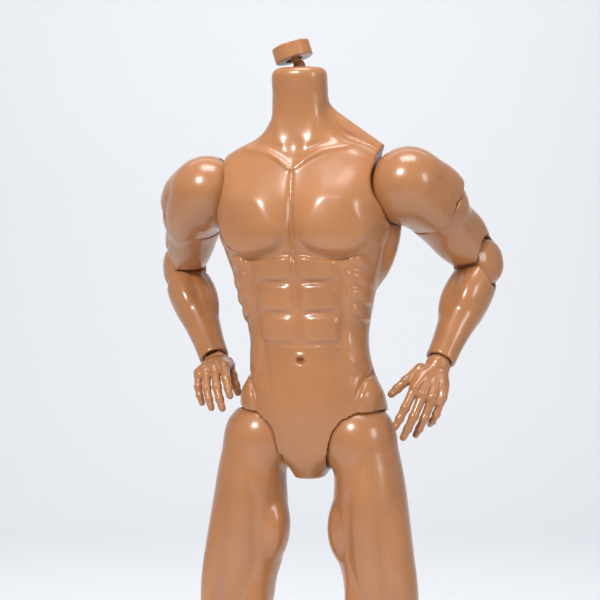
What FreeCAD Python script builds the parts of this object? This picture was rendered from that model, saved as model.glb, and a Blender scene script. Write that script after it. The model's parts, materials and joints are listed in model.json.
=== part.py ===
import FreeCAD, Part
import math
import os

from FreeCAD import Placement, Rotation, Vector as V

os.makedirs("parts", exist_ok=True)

# Headless one-sixth scale articulated figure, millimetres.
# Body axes: the figure faces -Y, +X is its left side, +Z is up and the soles stand on Z = 0.

# ---- where the figure stands: its bounding box is centred over the origin of the shared frame
CENTRE_SHIFT = V(0.893, -4.765, 0.0)

# ---- general fits
GAP = 0.3            # clearance between moulded shells
RUN = 0.05           # radial clearance of a pin that turns in a bore
SKIN = 2.2           # wall of the soft torso skin

# ---- torso: (height, centre x, half width, front y, back y), upwards; the chest leans a little to -X
PELVIS_FORM = [
    (139.0, 0.0, 4.6, -5.0, 8.0), (143.0, 0.2, 6.8, -8.6, 12.0), (150.0, 0.8, 19.0, -11.0, 15.0),
    (158.0, 1.2, 24.2, -12.0, 16.0), (166.0, 1.2, 24.0, -12.4, 15.4), (174.0, 0.7, 21.0, -12.6, 13.8),
    (183.0, 0.2, 19.8, -12.6, 13.0), (192.0, -0.4, 21.0, -13.4, 13.4), (202.0, -0.9, 23.4, -14.6, 14.2)]
CHEST_FORM = [
    (183.0, 0.2, 19.8, -12.6, 13.0), (192.0, -0.5, 21.0, -13.4, 13.4), (202.0, -0.9, 23.4, -14.6, 14.2),
    (212.0, -1.3, 26.6, -16.6, 15.0), (221.0, -1.7, 28.4, -17.6, 15.6), (231.0, -2.1, 27.4, -17.2, 15.4),
    (240.0, -2.4, 25.0, -14.0, 14.2), (247.0, -2.6, 21.0, -10.4, 12.4), (252.0, -2.6, 15.0, -9.0, 11.0),
    (257.0, -2.6, 10.8, -9.2, 9.6), (265.0, -2.6, 9.4, -10.0, 7.6), (272.0, -2.6, 9.2, -11.0, 6.2),
    (275.2, -2.6, 7.6, -10.0, 4.4)]
WAIST = V(0.0, 1.0, 178.0)
WAIST_R = 21.0       # the two skins meet on a cylinder round the waist hinge
# frame screws: (X, Z) of each, and the Y their heads sit at
PELVIS_SCREWS = [(-9.0, 168.0), (9.0, 168.0)]
PELVIS_SCREW_SEAT = 6.0
CHEST_SCREWS = [(-14.0, 214.0), (10.0, 214.0), (-7.0, 240.0), (2.0, 240.0)]
CHEST_SCREW_SEAT = 6.0

# ---- neck connector
NECK_BASE = V(-2.6, 0.6, 252.0)
NECK_TOP = V(-2.6, -2.6, 275.2)
NECK_POST_R = 4.0
STUD_R = 2.0
TILT_PIVOT = V(-4.6, -3.2, 279.4)
TILT_AXIS = V(0.0, 1.0, 0.0)
DISC_UP = V(-0.29, -0.04, 0.956)
DISC_R = 6.4
DISC_THICK = 5.0

# ---- arms: shoulder, elbow and wrist centres of the left (+1) and right (-1) arm
ARM_POINTS = {
    1: (V(32.5, 2.0, 235.0), V(52.3, 28.7, 211.0), V(41.9, 7.8, 176.3)),
    -1: (V(-36.3, 2.0, 234.6), V(-54.2, 29.9, 210.4), V(-35.8, 10.2, 176.8))}
SHOULDER_R = 12.6
SHOULDER_SOCKET_R = 13.0
# (height, offset to the outside, offset to the flexing side, half width, half depth)
DELTOID_FORM = [(0.0, 0.0, 0.0, 12.4, 12.4), (-6.0, 1.0, -1.0, 12.0, 12.2), (-13.0, 1.2, -1.4, 11.2, 11.6),
                (-19.0, 0.8, -1.0, 9.8, 10.2), (-21.9, 0.6, -0.8, 9.1, 9.4)]
UPPER_ARM_FORM = [(-22.1, 0.4, -0.4, 8.5, 8.8), (-27.0, 0.2, 0.2, 8.4, 8.9), (-32.0, 0.0, 0.0, 8.1, 8.5),
                  (-36.0, 0.0, 0.0, 7.8, 8.0), (-40.0, 0.0, 0.0, 7.4, 7.5)]
FOREARM_FORM = [(3.5, 0.0, 0.0, 7.0, 7.2), (-2.0, 0.0, 0.0, 7.5, 7.6), (-9.0, 0.4, 0.0, 7.9, 7.8),
                (-16.0, 0.3, 0.0, 7.5, 7.1), (-24.0, 0.0, 0.0, 6.3, 6.0), (-31.0, 0.0, 0.0, 5.5, 5.1)]

# ---- hands: direction of the back of the hand and of the palm's run to the fingers
HAND_POSE = {
    1: (V(0.42, -0.86, 0.28), V(-0.174, -0.564, -0.806)),
    -1: (V(-0.234, -0.363, 0.91), V(0.16, -0.96, -0.23))}
WRIST_BALL_R = 4.2
WRIST_END = 2.2      # the forearm ends this far above the wrist centre
# (offset towards the thumb, height, half width, half thickness)
PALM_FORM = [(0.0, 0.5, 3.9, 3.4), (0.0, -2.0, 4.4, 3.2), (0.4, -5.5, 6.0, 2.9), (0.4, -9.5, 6.8, 2.5),
             (0.2, -12.6, 6.3, 2.1)]
# (offset towards the thumb, knuckle height, splay, length of the two parts, radius) and each hand's two bends
FINGERS = [(5.0, -11.6, 5.0, 7.4, 7.0, 1.7), (1.7, -12.4, 2.0, 8.2, 7.6, 1.75),
           (-1.6, -11.9, -1.0, 7.6, 7.0, 1.65), (-4.7, -10.6, -4.0, 6.0, 5.6, 1.5)]
FINGER_BENDS = {1: [(12.0, 18.0), (16.0, 26.0), (24.0, 36.0), (32.0, 46.0)],
                -1: [(20.0, 26.0), (30.0, 35.0), (30.0, 36.0), (32.0, 40.0)]}
THUMB = {1: (5.2, -3.6, 28.0, 6.6, 6.0, 1.9), -1: (4.8, -4.0, 12.0, 6.6, 6.0, 1.9)}
THUMB_BENDS = {1: (14.0, 14.0), -1: (38.0, 18.0)}

# ---- legs: hip, knee and ankle centres
HIP = V(16.5, 1.0, 152.0)
KNEE = V(25.0, 1.0, 79.0)
ANKLE = V(HIP.x + (KNEE.x - HIP.x) * 139.0 / 73.0, 4.0, 13.0)   # hip, knee and ankle line up in front view
THIGH_BALL_R = 12.8
HIP_SOCKET_R = 13.3
CROTCH_HALF = 7.4
THIGH_FORM = [(0.0, 0.4, 0.0, 12.2, 12.5), (-9.0, 2.3, 0.0, 11.8, 12.9), (-17.0, 2.2, 0.0, 12.2, 13.5),
              (-26.0, 1.9, 0.0, 12.6, 13.8), (-38.0, 1.4, 0.0, 12.0, 13.0), (-50.0, 0.0, 0.0, 10.6, 11.6),
              (-64.0, 0.0, 0.0, 9.4, 10.0)]
SHIN_FORM = [(5.0, 0.0, 0.0, 9.0, 9.4), (-4.0, 0.0, 0.4, 9.0, 9.6), (-14.0, 0.2, 1.6, 9.2, 10.0),
             (-24.0, 0.2, 2.0, 9.0, 9.8), (-36.0, 0.0, 1.0, 7.2, 8.0), (-48.0, 0.0, 0.4, 5.6, 6.4),
             (-58.0, 0.0, 0.2, 5.4, 6.0)]
FOOT_FORM = [(11.0, 5.2, 9.0), (5.0, 6.0, 11.0), (-4.0, 6.0, 11.0), (-12.0, 6.8, 9.6),
             (-22.0, 7.8, 6.6), (-29.0, 7.6, 4.6), (-33.0, 5.6, 3.2)]
TOE_OUT = 8.0

# ---- double hinges: a barrel with two pins; the upper limb reaches its pin with a fork of two plates,
# the lower limb with one tongue. reach is half the distance between the pins, eye the radius round a pin
ELBOW = dict(barrel=6.3, half=6.3, reach=2.6, eye=2.8, tongue=1.4, fork=(2.5, 4.2), pin=0.9)
KNEE_HINGE = dict(barrel=8.6, half=8.4, reach=4.0, eye=4.0, tongue=2.2, fork=(3.4, 6.0), pin=1.4)
ELBOW_FLEX = 49.0    # largest angle of one elbow hinge, from a straight arm
KNEE_FLEX = 62.0

LIFT = 50.0          # how far the arm lifts and the leg spreads on its yoke
SPREAD = 40.0
BALL_EYE_R = 4.2     # eye of the shoulder and hip yokes
BALL_EYE_HALF = 2.4
BALL_STEM_R = 2.2
BALL_PIN_R = 1.2


# ---------------------------------------------------------------- small tools
def ellipse_wire(x, y, z, half_x, half_y, points=16):
    """Closed smooth ring at height z."""
    ring = []
    for i in range(points):
        turn = 2.0 * math.pi * i / points
        ring.append(V(x + half_x * math.cos(turn), y + half_y * math.sin(turn), z))
    curve = Part.BSplineCurve()
    curve.interpolate(ring, PeriodicFlag=True)
    return Part.Wire(curve.toShape())


def torso_loft(form, inset):
    """Closed torso body through the form's rings, drawn in by inset."""
    wires = []
    for z, x, half, front, back in form:
        wires.append(ellipse_wire(x, (front + back) / 2.0, z, half - inset, (back - front) / 2.0 - inset))
    return Part.makeLoft(wires, True)


def limb_loft(form, outward):
    """Closed limb body; outward is +1 or -1, the way its own X must go to reach the outer side."""
    wires = []
    for z, out, flex, half_x, half_y in form:
        wires.append(ellipse_wire(out * outward, flex, z, half_x, half_y))
    return Part.makeLoft(wires, True)


def cylinder(centre, axis, radius, low, high):
    """Cylinder about an axis line, between two distances along it from centre."""
    unit = V(axis).normalize()
    return Part.makeCylinder(radius, high - low, centre + unit * low, unit)


def sphere(centre, radius):
    return Part.makeSphere(radius, centre)


def block(x0, x1, y0, y1, z0, z1):
    return Part.makeBox(x1 - x0, y1 - y0, z1 - z0, V(x0, y0, z0))


def limb_frame(top, bottom, hinge):
    """Own axes of a limb: origin at its top joint, -Z towards its bottom joint, X close to its hinge."""
    return Placement(top, Rotation(hinge, V(), top - bottom, "ZXY"))


def swept_slot(half_width, half_thick, reach, low, high):
    """Room for a plate that turns about X through the origin; angles run from -Z towards +Y."""

    def ray(angle, length, offset):
        turn = math.radians(angle)
        y = math.sin(turn) * length - math.cos(turn) * offset
        z = math.cos(turn) * length + math.sin(turn) * offset
        return V(-half_width, y, -z)

    outline = [ray(low, 0.0, half_thick), ray(low, reach, half_thick)]
    steps = 4
    for i in range(steps + 1):
        outline.append(ray(low + (high - low) * i / steps, reach * 1.2, 0.0))
    outline += [ray(high, reach, -half_thick), ray(high, 0.0, -half_thick)]
    outline.append(outline[0])
    plate = Part.Face(Part.makePolygon(outline)).extrude(V(2.0 * half_width, 0.0, 0.0))
    return plate.fuse(cylinder(V(), V(1, 0, 0), half_thick, -half_width, half_width))


def one_solid(shape):
    """The largest solid of a result."""
    return max(shape.Solids, key=lambda solid: solid.Volume)


def save(node, shape, frame=None):
    """Write one node in the shared frame."""
    placed = shape.copy()
    if frame is not None:
        placed = placed.transformed(frame.toMatrix(), True)
    placed.translate(CENTRE_SHIFT)
    placed.exportStep("parts/%s.step" % node)


# ---------------------------------------------------------------- torso
def below_waist_cut(radius):
    """Everything inside the waist cylinder or below its axis."""
    drum = cylinder(WAIST, V(1, 0, 0), radius, -60.0, 60.0)
    return drum.fuse(block(-60.0, 60.0, -60.0, 60.0, 100.0, WAIST.z))


def pelvis_form(inset):
    return torso_loft(PELVIS_FORM, inset).common(below_waist_cut(WAIST_R - inset))


def chest_form(inset):
    return torso_loft(CHEST_FORM, inset).cut(below_waist_cut(WAIST_R + GAP + inset))


def hip_sockets(radius):
    """Ball sockets, and the thighs' room beside the crotch strip."""
    room = None
    for side in (1, -1):
        hip = V(side * HIP.x, HIP.y, HIP.z)
        beside = cylinder(hip, V(side, 0, 0), 16.0, CROTCH_HALF - HIP.x, 20.0)
        low = beside.common(block(-60.0, 60.0, -60.0, 60.0, 100.0, HIP.z - 5.0))
        socket = sphere(hip, radius).fuse(low)
        room = socket if room is None else room.fuse(socket)
    return room


def pelvis_parts():
    """Soft hip skin, its two-part frame, the waist pin and the frame screws."""
    cavity = torso_loft(PELVIS_FORM, SKIN).common(block(-60.0, 60.0, -60.0, 60.0, 143.0, 250.0))
    skin = pelvis_form(0.0).cut(cavity).cut(hip_sockets(HIP_SOCKET_R))
    skin = skin.cut(cylinder(HIP, V(1, 0, 0), BALL_STEM_R + 1.0, -2.0 * HIP.x, 0.0))
    save("pelvis_skin", one_solid(skin))

    core = pelvis_form(SKIN + 0.2).common(block(-60.0, 60.0, -60.0, 60.0, 149.0, WAIST.z + 4.6))
    core = core.cut(hip_sockets(HIP_SOCKET_R + 0.4))
    # room for the tongue of the chest frame, and the bore of the waist pin
    core = core.cut(block(-5.3, 5.3, -30.0, 30.0, WAIST.z - 6.4, WAIST.z + 20.0))
    core = core.cut(cylinder(WAIST, V(1, 0, 0), 2.0, -13.0, 13.0))
    for side in (1, -1):
        hip = V(side * HIP.x, HIP.y, HIP.z)
        core = core.cut(cylinder(hip, V(-side, 0, 0), BALL_STEM_R + RUN, 0.0, HIP.x - 1.0))
        core = core.cut(cylinder(hip, V(-side, 0, 0), BALL_STEM_R + 1.0, 10.6, 13.2))
    for x, z in PELVIS_SCREWS:
        core = core.cut(cylinder(V(x, 0, z), V(0, 1, 0), 0.8, -5.0, 20.0))
        core = core.cut(cylinder(V(x, 0, z), V(0, 1, 0), 1.7, PELVIS_SCREW_SEAT, 20.0))
    split = block(-60.0, 60.0, -60.0, HIP.y, 100.0, 250.0)
    save("pelvis_frame_front", one_solid(core.common(split)))
    save("pelvis_frame_back", one_solid(core.cut(split)))
    save("pelvis_screws", Part.Compound([screw(V(x, 0, z), PELVIS_SCREW_SEAT) for x, z in PELVIS_SCREWS]))
    save("waist_pin", cylinder(WAIST, V(1, 0, 0), 2.0, -12.8, 12.8))


def screw(point, seat):
    """Pan head screw along Y, head at the back."""
    shank = cylinder(point, V(0, 1, 0), 0.8, -4.8, seat)
    head = cylinder(point, V(0, 1, 0), 1.6, seat, seat + 1.4)
    cross = block(point.x - 1.1, point.x + 1.1, seat + 0.9, seat + 2.0, point.z - 0.2, point.z + 0.2)
    return shank.fuse(head).cut(cross)


def chest_parts():
    """Soft chest and neck skin, its two-part frame, the neck post and the frame screws."""
    sockets = None
    for side in (1, -1):
        shoulder = ARM_POINTS[side][0]
        ball = sphere(shoulder, SHOULDER_SOCKET_R)
        # the arm hole opens outwards and a little down
        mouth = cylinder(shoulder, V(side, 0.25, -0.75), SHOULDER_SOCKET_R, 0.0, 20.0)
        hole = ball.fuse(mouth).fuse(cylinder(shoulder, V(side, 0, 0), BALL_STEM_R + 1.0, -24.0, 0.0))
        sockets = hole if sockets is None else sockets.fuse(hole)
    neck_bore = cylinder(NECK_BASE, NECK_TOP - NECK_BASE, NECK_POST_R + 0.1, -30.0, 23.0)
    neck_hole = cylinder(NECK_BASE, NECK_TOP - NECK_BASE, STUD_R + 0.5, 20.0, 30.0)
    cavity = torso_loft(CHEST_FORM, SKIN).common(block(-60.0, 60.0, -60.0, 60.0, 150.0, 272.0))
    skin = chest_form(0.0).cut(cavity).cut(sockets).cut(neck_bore).cut(neck_hole)
    save("chest_skin", one_solid(skin))

    core = chest_form(SKIN + 0.2).common(block(-60.0, 60.0, -60.0, 60.0, 150.0, 256.0))
    # the tongue that reaches down to the waist pin
    tongue = block(-5.0, 5.0, WAIST.y - 5.5, WAIST.y + 5.5, WAIST.z, 215.0)
    tongue = tongue.fuse(cylinder(WAIST, V(1, 0, 0), 5.5, -5.0, 5.0))
    core = core.fuse(tongue).cut(cylinder(WAIST, V(1, 0, 0), 2.0 + RUN, -6.0, 6.0))
    for side in (1, -1):
        shoulder = ARM_POINTS[side][0]
        inward = V(-side, 0, 0)
        core = core.cut(sphere(shoulder, SHOULDER_SOCKET_R + 0.4))
        core = core.cut(cylinder(shoulder, V(side, 0.25, -0.75), SHOULDER_SOCKET_R + 0.4, 0.0, 20.0))
        core = core.cut(cylinder(shoulder, inward, BALL_STEM_R + RUN, 0.0, 23.2))
        core = core.cut(cylinder(shoulder, inward, BALL_STEM_R + 1.0, 18.6, 21.2))
    core = core.cut(cylinder(NECK_BASE, NECK_TOP - NECK_BASE, NECK_POST_R, -4.0, 30.0))
    for x, z in CHEST_SCREWS:
        core = core.cut(cylinder(V(x, 0, z), V(0, 1, 0), 0.8, -5.0, 20.0))
        core = core.cut(cylinder(V(x, 0, z), V(0, 1, 0), 1.7, CHEST_SCREW_SEAT, 20.0))
    split = block(-60.0, 60.0, -60.0, ARM_POINTS[1][0].y, 150.0, 300.0)
    save("chest_frame_front", one_solid(core.common(split)))
    save("chest_frame_back", one_solid(core.cut(split)))
    save("chest_screws", Part.Compound([screw(V(x, 0, z), CHEST_SCREW_SEAT) for x, z in CHEST_SCREWS]))

    post = cylinder(NECK_BASE, NECK_TOP - NECK_BASE, NECK_POST_R, -4.0, 22.6)
    post = post.cut(cylinder(NECK_BASE, NECK_TOP - NECK_BASE, STUD_R + RUN, 10.0, 30.0))
    save("neck_post", post)


# ---------------------------------------------------------------- neck connector
def neck_parts():
    """Turning stud, tilting disc and the pin between them."""
    up = (NECK_TOP - NECK_BASE).normalize()
    stud = cylinder(NECK_BASE, up, STUD_R, 10.4, 24.4)
    shank = TILT_PIVOT - (NECK_BASE + up * 24.0)
    stud = stud.fuse(sphere(NECK_BASE + up * 24.0, STUD_R))
    stud = stud.fuse(cylinder(NECK_BASE + up * 24.0, shank, 1.4, 0.0, shank.Length))
    eye = cylinder(TILT_PIVOT, TILT_AXIS, 2.0, -1.5, 1.5)
    stud = stud.fuse(eye).cut(cylinder(TILT_PIVOT, TILT_AXIS, 0.8 + RUN, -3.0, 3.0))
    save("neck_stud", one_solid(stud))

    # the disc's own axes: origin at the pivot, Z along the disc, X across the tilt axis
    frame = Placement(TILT_PIVOT, Rotation(V(), TILT_AXIS, DISC_UP, "ZYX"))
    disc = cylinder(V(), V(0, 0, 1), DISC_R, -1.6, DISC_THICK - 1.6)
    rims = [edge for edge in disc.Edges if edge.Curve.TypeId == "Part::GeomCircle"]
    disc = disc.makeFillet(0.8, rims)
    room = cylinder(V(), V(0, 1, 0), 2.3, -1.8, 1.8)
    # the slot opens further to +X, where the stud goes as the disc tilts
    corners = [(-2.0, 0.5), (-2.6, -4.0), (7.8, -4.0), (1.8, 2.0)]
    fan = [V(x, -1.8, z) for x, z in corners + corners[:1]]
    room = room.fuse(Part.Face(Part.makePolygon(fan)).extrude(V(0, 3.6, 0)))
    disc = disc.cut(room).cut(cylinder(V(), V(0, 1, 0), 0.8, -4.2, 4.2))
    save("head_connector", one_solid(disc), frame)
    save("connector_pin", cylinder(V(), V(0, 1, 0), 0.8, -4.0, 4.0), frame)


# ---------------------------------------------------------------- ball and yoke joints
def yoke(centre, side, stem_length):
    """Eye on the ball joint's tilt pin, with a stem that turns in the torso frame."""
    inward = V(-side, 0, 0)
    body = cylinder(centre, inward, BALL_STEM_R, 0.0, stem_length)
    body = body.fuse(cylinder(centre, inward, BALL_STEM_R + 0.9, stem_length - 2.2, stem_length - 0.2))
    body = body.fuse(cylinder(centre, V(0, 1, 0), BALL_EYE_R, -BALL_EYE_HALF, BALL_EYE_HALF))
    return one_solid(body.cut(cylinder(centre, V(0, 1, 0), BALL_PIN_R + RUN, -9.0, 9.0)))


def stem_slot(centre, side, half_width, low, high):
    """Room for a yoke inside a ball, for stem angles from inwards (0) to upwards (90)."""
    slot = swept_slot(half_width, BALL_EYE_R + GAP, 16.0, low, high)
    # the plate's -Z ray points inwards and its +Y ray points up
    frame = Placement(centre, Rotation(V(0, side, 0), V(0, 0, 1), V(side, 0, 0), "ZYX"))
    return slot.transformed(frame.toMatrix(), True)


# ---------------------------------------------------------------- double hinge
def limb_end(size, flex):
    """What a lower limb loses round the barrel at its top: the barrel's room and a flexing cut."""
    room = cylinder(V(), V(1, 0, 0), size["barrel"] + GAP, -40.0, 40.0)
    beyond = block(-40.0, 40.0, -40.0, 40.0, 1.0, 60.0)
    # the slanted plane that meets its partner at full flexion
    slant = block(-40.0, 40.0, 0.0, 60.0, 0.0, 60.0)
    slant.rotate(V(), V(1, 0, 0), -flex)
    shift = size["reach"] - GAP
    slant.translate(V(0, math.sin(math.radians(flex)) * shift, math.cos(math.radians(flex)) * shift))
    return room.fuse(beyond).fuse(slant)


def hinge_plate(size, low, high, depth):
    """Plate of a lower limb between two X values, with its eye round the hinge pin at the origin."""
    plate = block(low, high, -size["eye"], size["eye"], -depth, 0.0)
    return plate.fuse(cylinder(V(), V(1, 0, 0), size["eye"], low, high))


def upside_down(shape):
    return shape.mirror(V(), V(0, 0, 1))


def fork_plates(size, depth):
    """The two plates of an upper limb, reaching down to the hinge pin at the origin."""
    inner, outer = size["fork"]
    plates = hinge_plate(size, inner, outer, depth).fuse(hinge_plate(size, -outer, -inner, depth))
    return upside_down(plates)


def hinge_link(size, flex):
    """Barrel with two slots for the upper limb's fork and one for the lower limb's tongue."""
    half, radius, reach = size["half"], size["barrel"], size["reach"]
    waist = math.sqrt(radius ** 2 - reach ** 2)
    barrel = block(-half, half, -waist, waist, -reach, reach)
    for z in (-reach, reach):
        barrel = barrel.fuse(cylinder(V(0, 0, z), V(1, 0, 0), radius, -half, half))
    barrel = barrel.common(sphere(V(), radius + reach + GAP))
    slot = swept_slot(size["tongue"] + GAP, size["eye"] + GAP, 16.0, 0.0, flex + 1.0)
    barrel = barrel.cut(slot.translated(V(0, 0, -reach)))
    inner, outer = size["fork"]
    slot = swept_slot((outer - inner) / 2.0 + GAP, size["eye"] + GAP, 16.0, 0.0, flex + 1.0)
    for middle in (-(inner + outer) / 2.0, (inner + outer) / 2.0):
        barrel = barrel.cut(upside_down(slot).translated(V(middle, 0, reach)))
    for z in (-reach, reach):
        barrel = barrel.cut(cylinder(V(0, 0, z), V(1, 0, 0), size["pin"], -half + 0.5, half - 0.5))
    return one_solid(barrel)


def hinge_pins(size):
    """The two pins of a barrel link, in the link's own axes."""
    end = size["half"] - 0.6
    return Part.Compound([cylinder(V(0, 0, z), V(1, 0, 0), size["pin"], -end, end)
                          for z in (size["reach"], -size["reach"])])


# ---------------------------------------------------------------- arms
def arm_frames(side):
    """Own axes of the upper arm, the elbow link and the forearm."""
    shoulder, elbow, wrist = ARM_POINTS[side]
    upper = (elbow - shoulder).normalize()
    fore = (wrist - elbow).normalize()
    hinge = upper.cross(fore).normalize()
    link = (upper + fore).normalize()
    first = elbow - link * ELBOW["reach"]
    second = elbow + link * ELBOW["reach"]
    upper_frame = limb_frame(shoulder, first, hinge)
    link_frame = limb_frame(elbow, elbow + link, hinge)
    fore_frame = limb_frame(second, wrist, hinge)
    return upper_frame, link_frame, fore_frame, (first - shoulder).Length, (wrist - second).Length


def arm_parts(side, tag):
    shoulder = ARM_POINTS[side][0]
    upper_frame, link_frame, fore_frame, upper_length, fore_length = arm_frames(side)
    save("shoulder_yoke_" + tag, yoke(shoulder, side, 21.0))

    # deltoid: shoulder ball and swelling, with a slot for the yoke and a bore for the biceps peg
    deltoid = limb_loft(DELTOID_FORM, -side).fuse(sphere(V(), SHOULDER_R))
    deltoid = deltoid.cut(block(-40.0, 40.0, -40.0, 40.0, -60.0, DELTOID_FORM[-1][0]))
    deltoid = deltoid.cut(cylinder(V(), V(0, 0, 1), 3.0 + RUN, -26.0, -9.0))
    deltoid = deltoid.cut(cylinder(V(), V(0, 0, 1), 4.0, -14.0, -11.4))
    deltoid = deltoid.transformed(upper_frame.toMatrix(), True)
    deltoid = deltoid.cut(stem_slot(shoulder, side, BALL_EYE_HALF + GAP, -4.0, LIFT + 2.0))
    deltoid = deltoid.cut(cylinder(shoulder, V(0, 1, 0), BALL_PIN_R, -8.0, 8.0))
    save("deltoid_" + tag, one_solid(deltoid))
    save("shoulder_pin_" + tag, cylinder(shoulder, V(0, 1, 0), BALL_PIN_R, -7.8, 7.8))

    # upper arm: biceps peg on top, a fork at the elbow
    arm = limb_loft(UPPER_ARM_FORM + [(-upper_length - 4.2, 0.0, 0.0, 7.0, 7.1)], -side)
    arm = arm.cut(upside_down(limb_end(ELBOW, ELBOW_FLEX)).translated(V(0, 0, -upper_length)))
    arm = arm.fuse(fork_plates(ELBOW, 9.0).translated(V(0, 0, -upper_length)))
    arm = arm.fuse(cylinder(V(), V(0, 0, 1), 3.0, -24.0, -9.6))
    arm = arm.fuse(cylinder(V(), V(0, 0, 1), 3.8, -13.8, -11.6))
    arm = arm.cut(cylinder(V(0, 0, -upper_length), V(1, 0, 0), ELBOW["pin"] + RUN, -5.0, 5.0))
    save("upper_arm_" + tag, one_solid(arm), upper_frame)

    save("elbow_link_" + tag, hinge_link(ELBOW, ELBOW_FLEX), link_frame)
    save("elbow_pins_" + tag, hinge_pins(ELBOW), link_frame)

    # forearm: tongue on top, hollow wrist end with a bore for the wrist peg
    forearm = limb_loft(FOREARM_FORM + [(-fore_length - 0.5, 0.0, 0.0, 5.2, 4.8)], -side)
    tongue = hinge_plate(ELBOW, -ELBOW["tongue"], ELBOW["tongue"], 9.0)
    forearm = forearm.cut(limb_end(ELBOW, ELBOW_FLEX)).fuse(tongue)
    forearm = forearm.cut(block(-20.0, 20.0, -20.0, 20.0, -60.0, WRIST_END - fore_length))
    forearm = forearm.cut(sphere(V(0, 0, -fore_length), WRIST_BALL_R + GAP))
    forearm = forearm.cut(cylinder(V(), V(0, 0, 1), 1.9 + RUN, -60.0, 11.0 - fore_length))
    forearm = forearm.cut(cylinder(V(), V(0, 0, 1), 2.7, 8.4 - fore_length, 10.6 - fore_length))
    forearm = forearm.cut(cylinder(V(), V(1, 0, 0), ELBOW["pin"] + RUN, -2.0, 2.0))
    save("forearm_" + tag, one_solid(forearm), fore_frame)
    hand_parts(side, tag)


# ---------------------------------------------------------------- hands
def finger(side, form, bends):
    """Two tapered finger parts with round ends; they bend to the palm at -Y."""
    x, z, splay, first, second, radius = form

    def along(tilt, length):
        out = math.sin(math.radians(splay)) * math.cos(math.radians(tilt))
        down = math.cos(math.radians(splay)) * math.cos(math.radians(tilt))
        return V(side * out, -math.sin(math.radians(tilt)), -down) * length

    base = V(side * x, 0.0, z)
    middle = base + along(bends[0], first)
    tip = middle + along(bends[0] + bends[1], second)
    body = Part.makeCone(radius, radius * 0.92, first, base, middle - base)
    body = body.fuse(Part.makeCone(radius * 0.92, radius * 0.72, second, middle, tip - middle))
    body = body.fuse(sphere(base, radius)).fuse(sphere(middle, radius * 0.92))
    return body.fuse(sphere(tip, radius * 0.72))


def hand_parts(side, tag):
    """Wrist peg, its pin and the hand with spread fingers."""
    wrist = ARM_POINTS[side][2]
    fore_frame = arm_frames(side)[2]
    back, pointing = HAND_POSE[side]
    # the hand's own axes: X to the thumb of a left hand, Y to the back of the hand, -Z along the palm
    frame = Placement(wrist, Rotation(V(), back, pointing * -1.0, "ZYX"))
    pin_axis = frame.Rotation.multVec(V(0, 1, 0)) if side > 0 else frame.Rotation.multVec(V(1, 0, 0))
    up = fore_frame.Rotation.multVec(V(0, 0, 1))

    peg = cylinder(wrist, up, 1.9, 0.0, 10.4).fuse(cylinder(wrist, up, 2.5, 8.6, 10.4))
    peg = peg.fuse(cylinder(wrist, pin_axis, 2.3, -1.2, 1.2)).cut(cylinder(wrist, pin_axis, 0.7 + RUN, -5.0, 5.0))
    save("wrist_peg_" + tag, one_solid(peg))

    palm = Part.makeLoft([ellipse_wire(side * x, 0.0, z, half, thick) for x, z, half, thick in PALM_FORM], True)
    hand = palm.fuse(sphere(V(), WRIST_BALL_R)).fuse(finger(side, THUMB[side], THUMB_BENDS[side]))
    for form, bends in zip(FINGERS, FINGER_BENDS[side]):
        hand = hand.fuse(finger(side, form, bends))
    hand = one_solid(hand).transformed(frame.toMatrix(), True)
    hand = hand.cut(cylinder(wrist, pin_axis, 2.6, -1.5, 1.5))
    # the slot that lets the hand swing on the peg
    for angle in (-40.0, -20.0, 0.0, 20.0, 40.0):
        stem = block(-2.2, 2.2, -1.5, 1.5, 0.0, 8.0) if side > 0 else block(-1.5, 1.5, -2.2, 2.2, 0.0, 8.0)
        stem = stem.fuse(cylinder(V(), V(0, 0, 1), 2.2, 0.0, 8.0))
        room = stem.transformed(Placement(wrist, Rotation(V(), back, up, "ZYX")).toMatrix(), True)
        room.rotate(wrist, pin_axis, angle)
        hand = hand.cut(room)
    reach = WRIST_BALL_R + 0.2
    hand = hand.cut(cylinder(wrist, pin_axis, 0.7, -reach, reach))
    save("hand_" + tag, one_solid(hand))
    save("wrist_pin_" + tag, cylinder(wrist, pin_axis, 0.7, 0.4 - reach, reach - 0.4))


# ---------------------------------------------------------------- legs
def leg_frames(side):
    """Own axes of the thigh, the knee link and the shin."""
    hip = V(side * HIP.x, HIP.y, HIP.z)
    knee = V(side * KNEE.x, KNEE.y, KNEE.z)
    ankle = V(side * ANKLE.x, ANKLE.y, ANKLE.z)
    down = (knee - hip).normalize()
    first = knee - down * KNEE_HINGE["reach"]
    second = knee + down * KNEE_HINGE["reach"]
    hinge = down.cross(V(0, 1, 0)).normalize()
    thigh_frame = limb_frame(hip, first, hinge)
    link_frame = limb_frame(knee, second, hinge)
    shin_frame = limb_frame(second, ankle, hinge)
    return thigh_frame, link_frame, shin_frame, (first - hip).Length, (ankle - second).Length


def hip_block(hip, side):
    """Fork round the hip yoke's eye, with a peg down into the thigh."""
    body = block(-5.0, 5.0, -4.9, 4.9, -8.4, 4.0)
    body = body.fuse(cylinder(V(), V(0, 0, 1), 3.0, -18.0, -8.0)).fuse(cylinder(V(), V(0, 0, 1), 3.8, -18.0, -16.0))
    body = body.transformed(Placement(hip, Rotation()).toMatrix(), True)
    body = body.cut(stem_slot(hip, side, BALL_EYE_HALF + GAP, -4.0, SPREAD + 2.0))
    return one_solid(body.cut(cylinder(hip, V(0, 1, 0), BALL_PIN_R, -9.0, 9.0)))


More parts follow.
